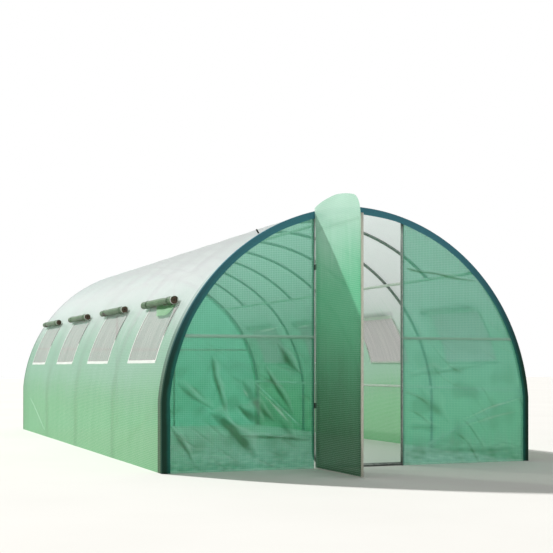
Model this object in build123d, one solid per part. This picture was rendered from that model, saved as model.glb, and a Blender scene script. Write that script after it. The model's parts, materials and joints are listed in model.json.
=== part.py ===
from build123d import *
import math
import os

# Walk-in polytunnel greenhouse: bent steel hoops under a thin sheet cover, a plain closed rear end,
# and a doorway in the front end with one side-hung leaf that stands open.
# Units are millimetres. X runs across the tunnel, Y from the front to the rear, Z up from the ground.

# Overall size, measured over the hem band on the front hoop
tunnel_width = 3000.0
tunnel_height = 1930.0
leg_height = 500.0  # straight part of each hoop, from the ground to the knee
bow_radius = 1540.0  # centre line of each bent half hoop, from the knee to the ridge
hoop_spacing = 1500.0
bay_count = 4

# Steel tube and thin sheet
tube_radius = 12.5
brace_radius = 9.5
tube_sides = 8  # flats that stand for the round of a tube
bend_radius = 200.0  # tight bend at each knee and at the ridge of a hoop
sheet_thickness = 2.0
seat_gap = 0.3  # between pieces that lie on each other

# Hem band round each end of the cover
band_face_width = 52.0
band_return_depth = 34.0

# Purlins, rails and braces
side_purlin_height = 560.0
shoulder_purlin_across = 1010.0
purlin_overhang = 10.0
end_rail_height = 958.0
rear_post_across = 365.0
brace_top = 535.0
brace_foot = 40.0
bow_overhang = 30.0  # how far a roof bow runs on past the shoulder purlin

# Doorway
jamb_left_x = -350.0
jamb_right_x = 382.0
sill_bend_radius = 110.0

# Door leaf, drawn closed and then swung open about its hinge stile
leaf_hinge_x = -331.0
leaf_width = 727.5  # between the centre lines of the two stiles
leaf_clearance = 10.0  # from the hem band to the back of the closed leaf
leaf_ground_gap = 8.0
leaf_top_overlap = 20.0  # how far the leaf's arched top reaches past the hem band
leaf_corner_radius = 110.0
leaf_rail_below_top = 30.0  # from the top of the free stile down to the centre of the top rail
leaf_open_angle = 90.0

# Hinge lugs
hinge_heights = (460.0, 1470.0)
hinge_lug_height = 40.0
hinge_wall = 3.0
hinge_slot_margin = 8.0

# Windows: one opening to each bay and side, with a mesh screen and a rolled-up flap
window_width = 800.0
window_low = 790.0
window_high = 1200.0
roll_radius = 31.0
roll_length = 860.0
roll_height = 1218.0  # height of the skin behind the middle of the roll
roll_shift = 100.0  # from the middle of the window towards the rear

# Strip of the cover that holds the windows, as heights on the skin
strip_below_windows = 90.0
strip_above_rolls = 102.0
strip_low = window_low - strip_below_windows
strip_high = roll_height + strip_above_rolls

# The skin and band as distances outside the centre line of the hoops
skin_inner = tube_radius + seat_gap
skin_outer = skin_inner + sheet_thickness
band_inner = skin_outer + seat_gap
band_outer = band_inner + sheet_thickness

# The centre line of a hoop
leg_x = tunnel_width / 2 - band_outer
ridge_height = tunnel_height - band_outer

# Centre of the right-hand bow, which passes through the knee and the ridge
chord = math.hypot(leg_x, ridge_height - leg_height)
to_centre = math.sqrt(bow_radius**2 - (chord / 2) ** 2)
bow_x = leg_x / 2 - to_centre * (ridge_height - leg_height) / chord
bow_z = (leg_height + ridge_height) / 2 - to_centre * leg_x / chord

# Planes along the tunnel. The origin is the middle of the footprint, with the open leaf counted.
tunnel_length = bay_count * hoop_spacing
leaf_axis_ahead = band_outer + leaf_clearance + tube_radius
leaf_reach = leaf_axis_ahead + leaf_width + tube_radius
front_y = (leaf_reach - tunnel_length - band_outer) / 2
rear_y = front_y + tunnel_length
leaf_axis_y = front_y - leaf_axis_ahead


def bow_height(across, offset=0.0):
    """Height of the bow at a distance across, offset outside the centre line."""
    return bow_z + math.sqrt((bow_radius + offset) ** 2 - (across - bow_x) ** 2)


def bow_angle(height, offset=0.0):
    """Angle up the bow, in radians, at which it reaches a height."""
    return math.asin((height - bow_z) / (bow_radius + offset))


def bow_point(angle, offset=0.0):
    """Point on the right-hand bow at an angle, offset outside the centre line."""
    reach = bow_radius + offset
    return Vector(bow_x + reach * math.cos(angle), 0, bow_z + reach * math.sin(angle))


def knee_angle(offset):
    """Angle at which the bow meets the straight leg."""
    return math.acos((leg_x + offset - bow_x) / (bow_radius + offset))


def ridge_angle(offset):
    """Angle at which the bow meets the middle plane."""
    return math.acos(-bow_x / (bow_radius + offset))


def closed_face(curves):
    """Flat face inside a loop of lines and arcs."""
    return Face(Wire([edge for curve in curves for edge in curve.edges()]))


def bow_arc(start, end, offset):
    """Arc of the right-hand bow between two angles."""
    middle = (start + end) / 2
    return ThreePointArc(bow_point(start, offset), bow_point(middle, offset), bow_point(end, offset))


def arch_face(offset):
    """Upright face inside the whole arch, at an offset outside the centre line."""
    foot = Vector(leg_x + offset, 0, 0)
    knee = bow_point(knee_angle(offset), offset)
    leg = Line(foot, knee)
    bow = bow_arc(knee_angle(offset), ridge_angle(offset), offset)
    ground = Line(Vector(-foot.X, 0, 0), foot)
    return closed_face([leg, bow, mirror(bow, Plane.YZ), mirror(leg, Plane.YZ), ground])


def thicken(face, start, depth):
    """Solid that runs from start along Y for depth."""
    return extrude(Pos(0, start, 0) * face, amount=depth, dir=(0, 1, 0))


def tube_section(radius):
    """Section of a tube, with flats to the front, the back and both sides."""
    return RegularPolygon(radius, tube_sides, major_radius=False, rotation=180 / tube_sides)


def tube_along(path):
    """Tube along an upright path across the tunnel, of lines and tangent arcs."""
    start = Plane(path @ 0, x_dir=(0, 1, 0), z_dir=path % 0)
    return sweep(start * tube_section(tube_radius), path=path)


def straight_tube(start, end, section=tube_section(tube_radius), turn=0.0):
    """Tube between two points, with its section turned about its own line by an angle in degrees."""
    run = Vector(*end) - Vector(*start)
    return extrude(Plane(start, z_dir=run) * Rot(0, 0, turn) * section, amount=run.length)


def mirrored(piece):
    """The same piece on the other side of the tunnel."""
    return mirror(piece, Plane.YZ)


def bent_tube(outline):
    """Tube round an upright outline, with its corners bent and its lowest line left open."""
    base = outline.edges().sort_by(Axis.Z)[0]
    corners = [corner for corner in outline.vertices() if corner.Z > base.center().Z + tube_radius]
    above_base = fillet(corners, bend_radius).edges().sort_by(Axis.Z)[1:]
    return tube_along(Wire(above_base))


def hoop(y):
    """Full hoop with its two feet on the ground."""
    return Pos(0, y, 0) * bent_tube(arch_face(0))


def roof_bow(y):
    """Bow over the roof alone, resting on the two shoulder purlins."""
    shoulder = bow_angle(bow_height(shoulder_purlin_across))
    half = bow_arc(shoulder - bow_overhang / bow_radius, ridge_angle(0), 0)
    end = half @ 0
    base = Line(Vector(-end.X, 0, end.Z), end)
    return Pos(0, y, 0) * bent_tube(closed_face([half, mirror(half, Plane.YZ), base]))


def purlin(angle):
    """Long tube under the hoops at an angle up the right-hand bow."""
    centre = bow_point(angle, -2 * tube_radius - seat_gap)
    start = (centre.X, front_y - purlin_overhang, centre.Z)
    end = (centre.X, rear_y + purlin_overhang, centre.Z)
    return straight_tube(start, end, turn=-math.degrees(angle))


def ridge_purlin():
    """Long tube under the hoops at the ridge."""
    height = ridge_height - 2 * tube_radius - seat_gap
    return straight_tube((0, front_y - purlin_overhang, height), (0, rear_y + purlin_overhang, height))


def hoop_inside(height):
    """Distance across to the inner side of a hoop at a height above the knee."""
    return bow_point(bow_angle(height, -tube_radius), -tube_radius).X


def brace(end_y, next_y):
    """Diagonal tube from just above the knee of an end hoop to the foot of the next hoop."""
    seat = seat_gap + brace_radius
    top = (hoop_inside(brace_top + brace_radius) - seat, end_y, brace_top)
    foot = (leg_x - tube_radius - seat, next_y, brace_foot)
    return straight_tube(top, foot, tube_section(brace_radius))


def post(x, y):
    """Upright tube from the ground to the hoop above it."""
    outer_edge = abs(x) + tube_radius
    top = bow_height(outer_edge, -tube_radius) - seat_gap
    return straight_tube((x, y, 0), (x, y, top))


def door_jamb_left():
    """Left door post that bends into the sill along the ground."""
    top = bow_height(abs(jamb_left_x) + tube_radius, -tube_radius) - seat_gap
    sill_end = jamb_right_x - tube_radius - seat_gap
    corner = (jamb_left_x, front_y, tube_radius)
    path = FilletPolyline((jamb_left_x, front_y, top), corner, (sill_end, front_y, tube_radius),
                          radius=sill_bend_radius)
    return tube_along(path)


def end_rail(start_x, end_x, y):
    """Level tube across an end wall."""
    return straight_tube((start_x, y, end_rail_height), (end_x, y, end_rail_height))


def skin_strip(start, end, inner=skin_inner, outer=skin_outer):
    """Section of the skin between two angles of the right-hand bow."""
    edges = [bow_arc(start, end, inner), bow_arc(start, end, outer)]
    edges.append(Line(bow_point(start, inner), bow_point(start, outer)))
    edges.append(Line(bow_point(end, inner), bow_point(end, outer)))
    return closed_face(edges)


def wall_section():
    """Section of the skin from the ground to the first cut."""
    cut = bow_angle(strip_low, skin_outer)
    edges = []
    for offset in (skin_inner, skin_outer):
        knee = bow_point(knee_angle(offset), offset)
        edges.append(Line((leg_x + offset, 0, 0), knee))
        edges.append(bow_arc(knee_angle(offset), cut, offset))
    edges.append(Line((leg_x + skin_inner, 0, 0), (leg_x + skin_outer, 0, 0)))
    edges.append(Line(bow_point(cut, skin_inner), bow_point(cut, skin_outer)))
    return closed_face(edges)


def roof_cut():
    """Angle of the cut halfway between the window strip and the ridge."""
    return (bow_angle(strip_high, skin_outer) + ridge_angle(skin_outer)) / 2


def roof_section():
    """Section of the skin from the roof cut to the middle plane."""
    cut = roof_cut()
    edges = [bow_arc(cut, ridge_angle(offset), offset) for offset in (skin_inner, skin_outer)]
    edges.append(Line(bow_point(cut, skin_inner), bow_point(cut, skin_outer)))
    edges.append(Line((0, 0, bow_height(0, skin_inner)), (0, 0, bow_height(0, skin_outer))))
    return closed_face(edges)


def cover_length(section):
    """A section of the skin carried along the whole tunnel."""
    return thicken(section, front_y - skin_outer, tunnel_length + 2 * skin_outer)


def window_centres():
    """Middle of each window along the tunnel, one to a bay."""
    return [front_y + (bay + 0.5) * hoop_spacing for bay in range(bay_count)]


def window_strip():
    """Strip of the cover with the window openings cut through it."""
    low = bow_angle(strip_low, skin_outer)
    high = bow_angle(strip_high, skin_outer)
    strip = cover_length(skin_strip(low, high))
    sill = bow_angle(window_low, skin_outer)
    head = bow_angle(window_high, skin_outer)
    opening = skin_strip(sill, head, skin_inner - sheet_thickness, skin_outer + sheet_thickness)
    for y in window_centres():
        strip -= thicken(opening, y - window_width / 2, window_width)
    return strip


def window_screens():
    """Mesh screens that fill the window openings."""
    edge = seat_gap / bow_radius
    sill = bow_angle(window_low, skin_outer) + edge
    head = bow_angle(window_high, skin_outer) - edge
    section = skin_strip(sill, head)
    width = window_width - 2 * seat_gap
    return [thicken(section, y - width / 2, width) for y in window_centres()]


def window_rolls():
    """Rolled-up flaps that hang on the skin just above the windows."""
    angle = bow_angle(roll_height, skin_outer)
    centre = bow_point(angle, skin_outer + seat_gap + roll_radius)
    rolls = []
    for y in window_centres():
        start = (centre.X, y + roll_shift - roll_length / 2, centre.Z)
        end = (centre.X, y + roll_shift + roll_length / 2, centre.Z)
        rolls.append(straight_tube(start, end, tube_section(roll_radius), -math.degrees(angle)))
    return rolls


def end_sheet(y, low_x, high_x):
    """Flat end sheet inside the arch, between two distances across."""
    sheet = thicken(arch_face(tube_radius), y, sheet_thickness)
    middle = (low_x + high_x) / 2
    window = Pos(middle, y, tunnel_height / 2) * Box(high_x - low_x, 10 * sheet_thickness, 2 * tunnel_height)
    return sheet & window


def hem_band(face_y, outward):
    """Hem band round one end: a flat face on the end sheet and a return along the skin."""
    ring = arch_face(band_outer) - arch_face(band_outer - band_face_width)
    collar = arch_face(band_outer) - arch_face(band_inner)
    flat = thicken(ring, min(face_y, face_y + outward * sheet_thickness), sheet_thickness)
    edge = face_y + outward * sheet_thickness
    start = edge if outward < 0 else edge - band_return_depth
    return flat + thicken(collar, start, band_return_depth)


def leaf_outline():
    """Outline of the closed leaf's sheet, arched at the top."""
    low_x = leaf_hinge_x - tube_radius
    high_x = leaf_hinge_x + leaf_width + tube_radius
    tall = Pos((low_x + high_x) / 2, 0, leaf_ground_gap + tunnel_height)
    tall *= Rot(90, 0, 0) * Rectangle(high_x - low_x, 2 * tunnel_height)
    outline = (arch_face(band_outer + leaf_top_overlap) & tall).faces()[0]
    corner = outline.vertices().filter_by(lambda v: v.Z > leg_height).sort_by(Axis.X)[-1]
    return fillet(corner, leaf_corner_radius)


def leaf_sheet():
    """Sheet on the outer face of the leaf, slotted round the hinge lugs."""
    sheet = thicken(leaf_outline(), leaf_axis_y - skin_outer, sheet_thickness)
    reach = tube_radius + seat_gap + hinge_wall + hinge_slot_margin
    height = hinge_lug_height + 2 * hinge_slot_margin
    for z in hinge_heights:
        slot = Box(2 * reach, 2 * reach, height)
        sheet -= Pos(leaf_hinge_x, leaf_axis_y - skin_inner, z) * slot
    return sheet


def stile_top(x, below_top):
    """Height of the top of a stile, a distance below the arched top of the sheet."""
    return bow_height(abs(x) + tube_radius, band_outer + leaf_top_overlap) - below_top


def leaf_stile(x, section, top):
    """Upright tube of the leaf, standing in the plane of the hinge axis."""
    return straight_tube((x, leaf_axis_y, leaf_ground_gap), (x, leaf_axis_y, top), section)


def leaf_rail(height):
    """Level tube between the stiles of the leaf."""
    gap = tube_radius + seat_gap
    start = (leaf_hinge_x + gap, leaf_axis_y, height)
    end = (leaf_hinge_x + leaf_width - gap, leaf_axis_y, height)
    return straight_tube(start, end)


def opened(piece):
    """The leaf's piece swung open about the hinge axis."""
    return piece.rotate(Axis((leaf_hinge_x, leaf_axis_y, 0), (0, 0, 1)), -leaf_open_angle)


def hinge_lug(height):
    """Steel lug on the jamb with an eye round the leaf's hinge stile."""
    bore = tube_radius + seat_gap
    run_x = leaf_hinge_x - jamb_left_x
    run_y = leaf_axis_y - front_y
    eye = Pos(leaf_hinge_x, leaf_axis_y)
    arm = Pos(jamb_left_x + run_x / 2, front_y + run_y / 2) * Rot(0, 0, math.degrees(math.atan2(run_y, run_x)))
    plan = eye * Circle(bore + hinge_wall) + arm * Rectangle(math.hypot(run_x, run_y), 2 * hinge_wall)
    plan -= eye * Circle(bore)
    plan -= Pos(jamb_left_x, front_y) * tube_section(bore)
    return Pos(0, 0, height - hinge_lug_height / 2) * extrude(plan, amount=hinge_lug_height)


def save(name, pieces):
    """Writes one sub-part, of one solid or of several that don't touch."""
    solids = pieces if isinstance(pieces, list) else [pieces]
    flat = [solid for piece in solids for solid in piece.solids()]
    shape = flat[0] if len(flat) == 1 else Compound(children=flat)
    export_step(shape, os.path.join("parts", name + ".step"))


def save_pair(name, piece):
    """Writes a right-hand sub-part and its twin on the left."""
    pieces = piece if isinstance(piece, list) else [piece]
    save(name + "_right", pieces)
    save(name + "_left", [mirrored(one) for one in pieces])


def build_frame():
    """Hoops, roof bows, purlins and braces."""
    for number in range(bay_count + 1):
        save(f"hoop_{number + 1}", hoop(front_y + number * hoop_spacing))
    for number in range(bay_count):
        save(f"roof_bow_{number + 1}", roof_bow(front_y + (number + 0.5) * hoop_spacing))
    save("ridge_purlin", ridge_purlin())
    save_pair("shoulder_purlin", purlin(bow_angle(bow_height(shoulder_purlin_across))))
    save_pair("side_purlin", purlin(bow_angle(side_purlin_height)))
    save_pair("front_brace", brace(front_y, front_y + hoop_spacing))
    save_pair("rear_brace", brace(rear_y, rear_y - hoop_spacing))


def build_ends():
    """Door posts, rails and end sheets."""
    gap = tube_radius + seat_gap
    hoop_side = hoop_inside(end_rail_height + tube_radius) - seat_gap
    save("door_jamb_left", door_jamb_left())
    save("door_jamb_right", post(jamb_right_x, front_y))
    save("front_rail_left", end_rail(-hoop_side, jamb_left_x - gap, front_y))
    save("front_rail_right", end_rail(jamb_right_x + gap, hoop_side, front_y))
    save_pair("rear_post", post(rear_post_across, rear_y))
    outer_rail = end_rail(rear_post_across + gap, hoop_side, rear_y)
    middle_rail = end_rail(-rear_post_across + gap, rear_post_across - gap, rear_y)
    save("rear_rail", [mirrored(outer_rail), middle_rail, outer_rail])
    front_sheet_y = front_y - skin_outer
    save("front_panel_left", end_sheet(front_sheet_y, -tunnel_width, jamb_left_x))
    save("front_panel_right", end_sheet(front_sheet_y, jamb_right_x, tunnel_width))
    save("rear_panel", thicken(arch_face(tube_radius), rear_y + skin_inner, sheet_thickness))
    save("front_band", hem_band(front_y - band_inner, -1))
    save("rear_band", hem_band(rear_y + band_inner, 1))


def build_cover():
    """Skin of the tunnel in strips, with its windows."""
    shoulder = skin_strip(bow_angle(strip_high, skin_outer), roof_cut())
    save_pair("cover_wall", cover_length(wall_section()))
    save_pair("cover_windows", window_strip())
    save_pair("cover_shoulder", cover_length(shoulder))
    save_pair("cover_roof", cover_length(roof_section()))
    save_pair("window_screens", window_screens())
    save_pair("window_rolls", window_rolls())


def build_leaf():
    """Door leaf and its hinge lugs."""
    free_x = leaf_hinge_x + leaf_width
    free_top = stile_top(free_x, leaf_corner_radius)
    hinge_stile = leaf_stile(leaf_hinge_x, Circle(tube_radius), stile_top(leaf_hinge_x, leaf_top_overlap))
    free_stile = leaf_stile(free_x, tube_section(tube_radius), free_top)
    save("leaf_sheet", opened(leaf_sheet()))
    save("leaf_hinge_stile", opened(hinge_stile))
    save("leaf_free_stile", opened(free_stile))
    save("leaf_bottom_rail", opened(leaf_rail(leaf_ground_gap + tube_radius)))
    save("leaf_top_rail", opened(leaf_rail(free_top - leaf_rail_below_top)))
    save("hinge_lugs", [hinge_lug(height) for height in hinge_heights])


os.makedirs("parts", exist_ok=True)
build_frame()
build_ends()
build_cover()
build_leaf()
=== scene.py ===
# %% [markdown]
# # Dressing a polytunnel greenhouse
#
# A walk-in polytunnel is a row of bent steel hoops with one large green sheet pulled over them. The
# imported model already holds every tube, sheet and hinge at its real place and size. This lesson adds
# what the eye needs: woven film that lets light through, folds in the end sheets, rolled-up window
# flaps, netting, tubes with a real round, and the studio round it all.
#
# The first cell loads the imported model, which never moves. Whatever is made later rides on one of its
# two bodies, the standing tunnel or the swinging door leaf.

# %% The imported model
import json
import math

import bpy
import numpy as np
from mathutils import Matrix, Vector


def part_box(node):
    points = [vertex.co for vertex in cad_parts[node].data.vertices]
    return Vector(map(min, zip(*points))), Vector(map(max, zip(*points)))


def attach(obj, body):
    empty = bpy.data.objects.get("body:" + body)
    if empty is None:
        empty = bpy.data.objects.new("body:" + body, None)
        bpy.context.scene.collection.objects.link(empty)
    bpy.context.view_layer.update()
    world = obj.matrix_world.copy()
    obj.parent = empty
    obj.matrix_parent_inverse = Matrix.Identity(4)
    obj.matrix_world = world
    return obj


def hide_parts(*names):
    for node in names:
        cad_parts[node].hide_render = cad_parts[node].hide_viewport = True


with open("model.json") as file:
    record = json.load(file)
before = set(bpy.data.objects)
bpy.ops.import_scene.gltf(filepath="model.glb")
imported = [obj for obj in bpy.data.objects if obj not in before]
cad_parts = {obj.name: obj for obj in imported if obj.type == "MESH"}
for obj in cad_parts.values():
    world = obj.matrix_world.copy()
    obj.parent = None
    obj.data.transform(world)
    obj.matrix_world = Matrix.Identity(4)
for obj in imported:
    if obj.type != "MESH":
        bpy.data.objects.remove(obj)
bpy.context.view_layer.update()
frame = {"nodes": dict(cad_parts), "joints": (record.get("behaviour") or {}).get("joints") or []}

# %% [markdown]
# ## The arch as a formula
#
# Everything on this building follows one line: a straight leg, then a circular bow up to the ridge, and
# the same again on the other side. If that line is a formula, the skin, the hem bands, the windows and
# the rolled flaps can all be worked out from it, each at its own distance outside the hoops.
#
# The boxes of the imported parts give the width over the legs, the height of the ridge and the length. A
# box can't tell how far the bow is bent, how high the leg goes or how far out a layer lies, so those
# sizes are written here in metres, with the radii of the tubes.

# %% Sizes
TUBE_RADIUS = 0.0125
BRACE_RADIUS = 0.0095
LEG_HEIGHT = 0.5
BOW_RADIUS = 1.54
SKIN_OUTER = 0.0148
BAND_OUTER = 0.0171
BAYS = 4


def box_middle(node, axis):
    """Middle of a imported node's box along one direction: half of its low plus its high corner."""
    low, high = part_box(node)
    return (low[axis] + high[axis]) / 2


band_low, band_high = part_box("front_band")
front_y, rear_y = box_middle("hoop_1", 1), box_middle("hoop_5", 1)
bay_length = (rear_y - front_y) / BAYS
leg_x = band_high.x - BAND_OUTER
ridge_z = band_high.z - BAND_OUTER
print(f"legs {2 * leg_x:.3f} m apart, ridge {ridge_z:.3f} m high, bays of {bay_length:.3f} m")

# %% [markdown]
# The bow runs from the top of the leg to the ridge, and its centre is as far from the one as from the
# other. So it lies on the line that crosses the chord between them at its middle, at a right angle. How
# far along that line it lies follows from the radius and half the chord, as in a right triangle.

# %% The arch
half_chord = math.hypot(leg_x, ridge_z - LEG_HEIGHT) / 2
to_centre = math.sqrt(BOW_RADIUS**2 - half_chord**2)
bow_x = leg_x / 2 - to_centre * (ridge_z - LEG_HEIGHT) / (2 * half_chord)
bow_z = (LEG_HEIGHT + ridge_z) / 2 - to_centre * leg_x / (2 * half_chord)
knee_angle = math.acos((leg_x - bow_x) / BOW_RADIUS)
ridge_angle = math.acos(-bow_x / BOW_RADIUS)
bow_length = BOW_RADIUS * (ridge_angle - knee_angle)
half_girth = bow_length + LEG_HEIGHT


def arch(along, outside):
    """Across and height of the point that lies along metres from the ridge, minus on the left, and
    outside metres outside the hoops' centre line. On the bow the angle is the ridge's less along / R,
    x is the centre's plus (R + outside) times its cosine, and z the same with its sine. Below the knee
    x stays and z falls evenly to the ground."""
    run = np.abs(along)
    angle = ridge_angle - np.minimum(run, bow_length) / BOW_RADIUS
    x = bow_x + (BOW_RADIUS + outside) * np.cos(angle)
    z = bow_z + (BOW_RADIUS + outside) * np.sin(angle)
    z = z * (1 - np.maximum(run - bow_length, 0) / LEG_HEIGHT)
    return np.sign(along) * x, z


def along_at(height, outside=SKIN_OUTER):
    """Distance along the arch from the ridge down to a height above the knee: R times the difference
    between the ridge's angle and the arc sine of the height over the bow's centre, over R + outside."""
    return BOW_RADIUS * (ridge_angle - math.asin((height - bow_z) / (BOW_RADIUS + outside)))


print(f"girth over the hoops {2 * half_girth:.3f} m")

# %% [markdown]
# ## From arrays to meshes
#
# Each new piece starts as an array of points. A sheet is a grid of them, and a tube is a grid that
# closes on itself. Writing whole arrays into a mesh is fast, and it keeps the formula in view, which is
# why no piece here is drawn vertex by vertex. A shape is a bundle of points, faces, end caps and flat
# coordinates, so that several shapes can be put together into one piece.

# %% Grids
def grid_quads(rows, columns, closed=False):
    """Corner numbers of the faces between rows times columns points. The point in row r and column c
    has the number r times columns plus c. closed joins the last column to the first."""
    row = np.arange(rows - 1)[:, None] * columns
    column = np.arange(columns if closed else columns - 1)[None, :]
    following = (column + 1) % columns
    corners = [row + column, row + following, row + columns + following, row + columns + column]
    return np.stack(corners, axis=-1).reshape(-1, 4)


def stacked(*parts):
    """Numbers and arrays spread over one grid and put side by side, as the parts of each place."""
    return np.stack(np.broadcast_arrays(*parts), axis=-1)


def shares(rows, columns):
    """Shares from 0 to 1 down the rows of a grid, and across its columns."""
    return np.linspace(0, 1, rows)[:, None], np.linspace(0, 1, columns)[None, :]


def run_along(path):
    """Distance along a path from its start to each point: the lengths of its steps added up."""
    steps = np.linalg.norm(np.diff(path, axis=0), axis=1)
    return np.concatenate([[0], np.cumsum(steps)])


def sheet_shape(points, flat, keep=None):
    """A grid of points as a sheet, with flat coordinates in metres. keep says which faces stay."""
    quads = grid_quads(*points.shape[:2])
    points, flat = points.reshape(-1, 3), flat.reshape(-1, 2)
    if keep is not None:
        used, quads = np.unique(quads[keep.ravel()], return_inverse=True)
        points, quads, flat = points[used], quads.reshape(-1, 4), flat[used]
    return points, quads, (), flat


def turned(shape):
    """The same shape with its faces pointing the other way."""
    points, quads, caps, flat = shape
    return points, quads[:, ::-1], tuple(cap[::-1] for cap in caps), flat


def mirrored(shape):
    """The same shape on the other side of the tunnel, turned so that its faces still point outwards."""
    points, *rest = turned(shape)
    return points * (-1, 1, 1), *rest


def together(*shapes):
    """Several shapes as one, with the face numbers of each moved past the points before it."""
    starts = np.cumsum([0] + [len(shape[0]) for shape in shapes])
    points = np.concatenate([shape[0] for shape in shapes])
    quads = np.concatenate([shape[1] + start for shape, start in zip(shapes, starts)])
    caps = tuple(cap + start for shape, start in zip(shapes, starts) for cap in shape[2])
    return points, quads, caps, np.concatenate([shape[3] for shape in shapes])


print("a grid of 3 by 3 points has", len(grid_quads(3, 3)), "faces")

# %% [markdown]
# One function turns a shape into an object of the scene. It writes the points, the corners of the faces
# and the flat coordinates as whole arrays, and says which body the piece rides on, which finish it has
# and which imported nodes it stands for. Faces of a grid are shaded smooth, and end caps stay flat.

# %% Pieces
def piece(name, shape, body, material, nodes=()):
    """A mesh object made from a shape, riding on a body and standing for the CAD nodes it replaces."""
    points, quads, caps, flat = shape
    corners = np.concatenate([quads.ravel(), *caps]).astype(np.int32)
    sizes = np.concatenate([np.full(len(quads), 4), [len(cap) for cap in caps]])
    mesh = bpy.data.meshes.new(name)
    mesh.vertices.add(len(points))
    mesh.vertices.foreach_set("co", points.astype(np.float32).ravel())
    mesh.loops.add(len(corners))
    mesh.loops.foreach_set("vertex_index", corners)
    mesh.polygons.add(len(sizes))
    mesh.polygons.foreach_set("loop_start", (np.cumsum(sizes) - sizes).astype(np.int32))
    mesh.polygons.foreach_set("use_smooth", sizes == 4)
    mesh.update(calc_edges=True)
    mesh.uv_layers.new(name="Flat").data.foreach_set("uv", flat[corners].astype(np.float32).ravel())
    mesh.materials.append(material)
    made = bpy.data.objects.new(name, mesh)
    bpy.context.scene.collection.objects.link(made)
    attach(made, body)
    if nodes:
        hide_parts(*nodes)
    return made


# %% [markdown]
# ## Materials
#
# The tunnel has few materials, but each one has structure, and each is a tree of nodes. Trees can be
# drawn by hand in the editor, but a script can say the same in fewer words. A few short helpers keep
# them readable: one adds a node with its settings and links, and the others do sums and mix colours.

# %% Node helpers
def new_material(name):
    """An empty node material and its tree."""
    material = bpy.data.materials.new(name)
    material.use_nodes = True
    material.node_tree.nodes.clear()
    return material, material.node_tree


def add(tree, kind, sockets=None, **settings):
    """A node with its own settings and its sockets, each given a value or another node's output."""
    node = tree.nodes.new(kind)
    for key, value in settings.items():
        setattr(node, key, value)
    for key, value in (sockets or {}).items():
        if isinstance(value, bpy.types.NodeSocket):
            tree.links.new(value, node.inputs[key])
        else:
            node.inputs[key].default_value = value
    return node


def maths(tree, operation, first, second=0.0, third=0.0):
    """One sum, as the output of a Math node."""
    return add(tree, "ShaderNodeMath", {0: first, 1: second, 2: third}, operation=operation).outputs[0]


def times(tree, first, second):
    """One value times another."""
    return maths(tree, "MULTIPLY", first, second)


def mixed(tree, share, first, second):
    """Colour between two colours by a share."""
    first, second = (value if isinstance(value, bpy.types.NodeSocket) else (*value, 1)
                     for value in (first, second))
    return add(tree, "ShaderNodeMix", {0: share, 6: first, 7: second}, data_type="RGBA").outputs[2]


def ramp(tree, value, low, high):
    """A value between low and high as a share from 0 to 1, smoothly."""
    sockets = {"Value": value, "From Min": low, "From Max": high}
    return add(tree, "ShaderNodeMapRange", sockets, interpolation_type="SMOOTHSTEP").outputs[0]


def srgb(red, green, blue):
    """A colour given as it looks on a screen, from 0 to 255, in the linear light that nodes use."""
    share = np.array([red, green, blue]) / 255
    return tuple(np.where(share < 0.04045, share / 12.92, ((share + 0.055) / 1.055) ** 2.4))


print("mid grey on a screen is", round(srgb(128, 128, 128)[0], 3), "in linear light")

# %% [markdown]
# A pattern needs a place to read. The place on the solid suits soft noise, which then runs on from one
# piece to the next. The flat place bends with every fold, so threads that read it follow the cloth. A
# grid of threads comes from folding the flat place to and fro, which gives the distance to the nearest
# thread without any picture.

# %% Places and patterns
def solid_place(tree):
    """The place on the object in metres, which is its place in the scene, as every piece sits at the
    origin."""
    return add(tree, "ShaderNodeTexCoord").outputs["Object"]


def flat_place(tree):
    """The place on the piece laid flat, in metres, which bends with every fold."""
    return add(tree, "ShaderNodeUVMap", uv_map="Flat").outputs[0]


def parts_of(tree, place):
    """The X, Y and Z of a place."""
    return add(tree, "ShaderNodeSeparateXYZ", {0: place}).outputs


def stretched(tree, place, scale):
    """A place with each of its directions scaled."""
    return add(tree, "ShaderNodeMapping", {"Vector": place, "Scale": scale}).outputs[0]


def noise(tree, place, scale, detail=3.0):
    """Soft noise of about 1 / scale metres."""
    sockets = {"Vector": place, "Scale": scale, "Detail": detail}
    return add(tree, "ShaderNodeTexNoise", sockets).outputs["Fac"]


def beside_threads(tree, flat, pitch):
    """Distance to the nearest thread of a grid, both ways: the flat place folded to and fro over half
    the pitch."""
    place = parts_of(tree, flat)
    return [maths(tree, "PINGPONG", place[axis], pitch / 2) for axis in ("X", "Y")]


def cloth_height(tree, flat, pitch):
    """Height of crossing threads from 0 to 1: both distances to the nearest thread, over the pitch."""
    return times(tree, maths(tree, "ADD", *beside_threads(tree, flat, pitch)), 1 / pitch)


print("patterns ready: noise, a grid of threads and crossing cloth")

# %% [markdown]
# A surface can throw light back, glow with the light on its far side, or let it pass. One helper gives
# each of these, and another mixes two of them by a share, which is how film and netting are made. Fine
# threads needn't be modelled: a pattern of heights tilts the surface's direction, and they catch light.

# %% Shaders
def bumped(tree, height, strength, distance):
    """The surface's direction, tilted by a pattern of heights over a distance in metres."""
    sockets = {"Height": height, "Strength": strength, "Distance": distance}
    return add(tree, "ShaderNodeBump", sockets).outputs[0]


def solid(tree, colour, roughness, more=None):
    """A surface that throws light back and mirrors a little. more holds further sockets."""
    sockets = {"Base Color": colour, "Roughness": roughness, **(more or {})}
    return add(tree, "ShaderNodeBsdfPrincipled", sockets).outputs[0]


def lit_behind(tree, colour):
    """A surface that glows with the light on its other side."""
    return add(tree, "ShaderNodeBsdfTranslucent", {"Color": colour}).outputs[0]


def clear_view(tree, tint=(1, 1, 1)):
    """No surface at all: light passes straight through, with a tint."""
    return add(tree, "ShaderNodeBsdfTransparent", {"Color": (*tint, 1)}).outputs[0]


def blend(tree, share, first, second):
    """Two shaders mixed by a share."""
    return add(tree, "ShaderNodeMixShader", {0: share, 1: first, 2: second}).outputs[0]


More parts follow.
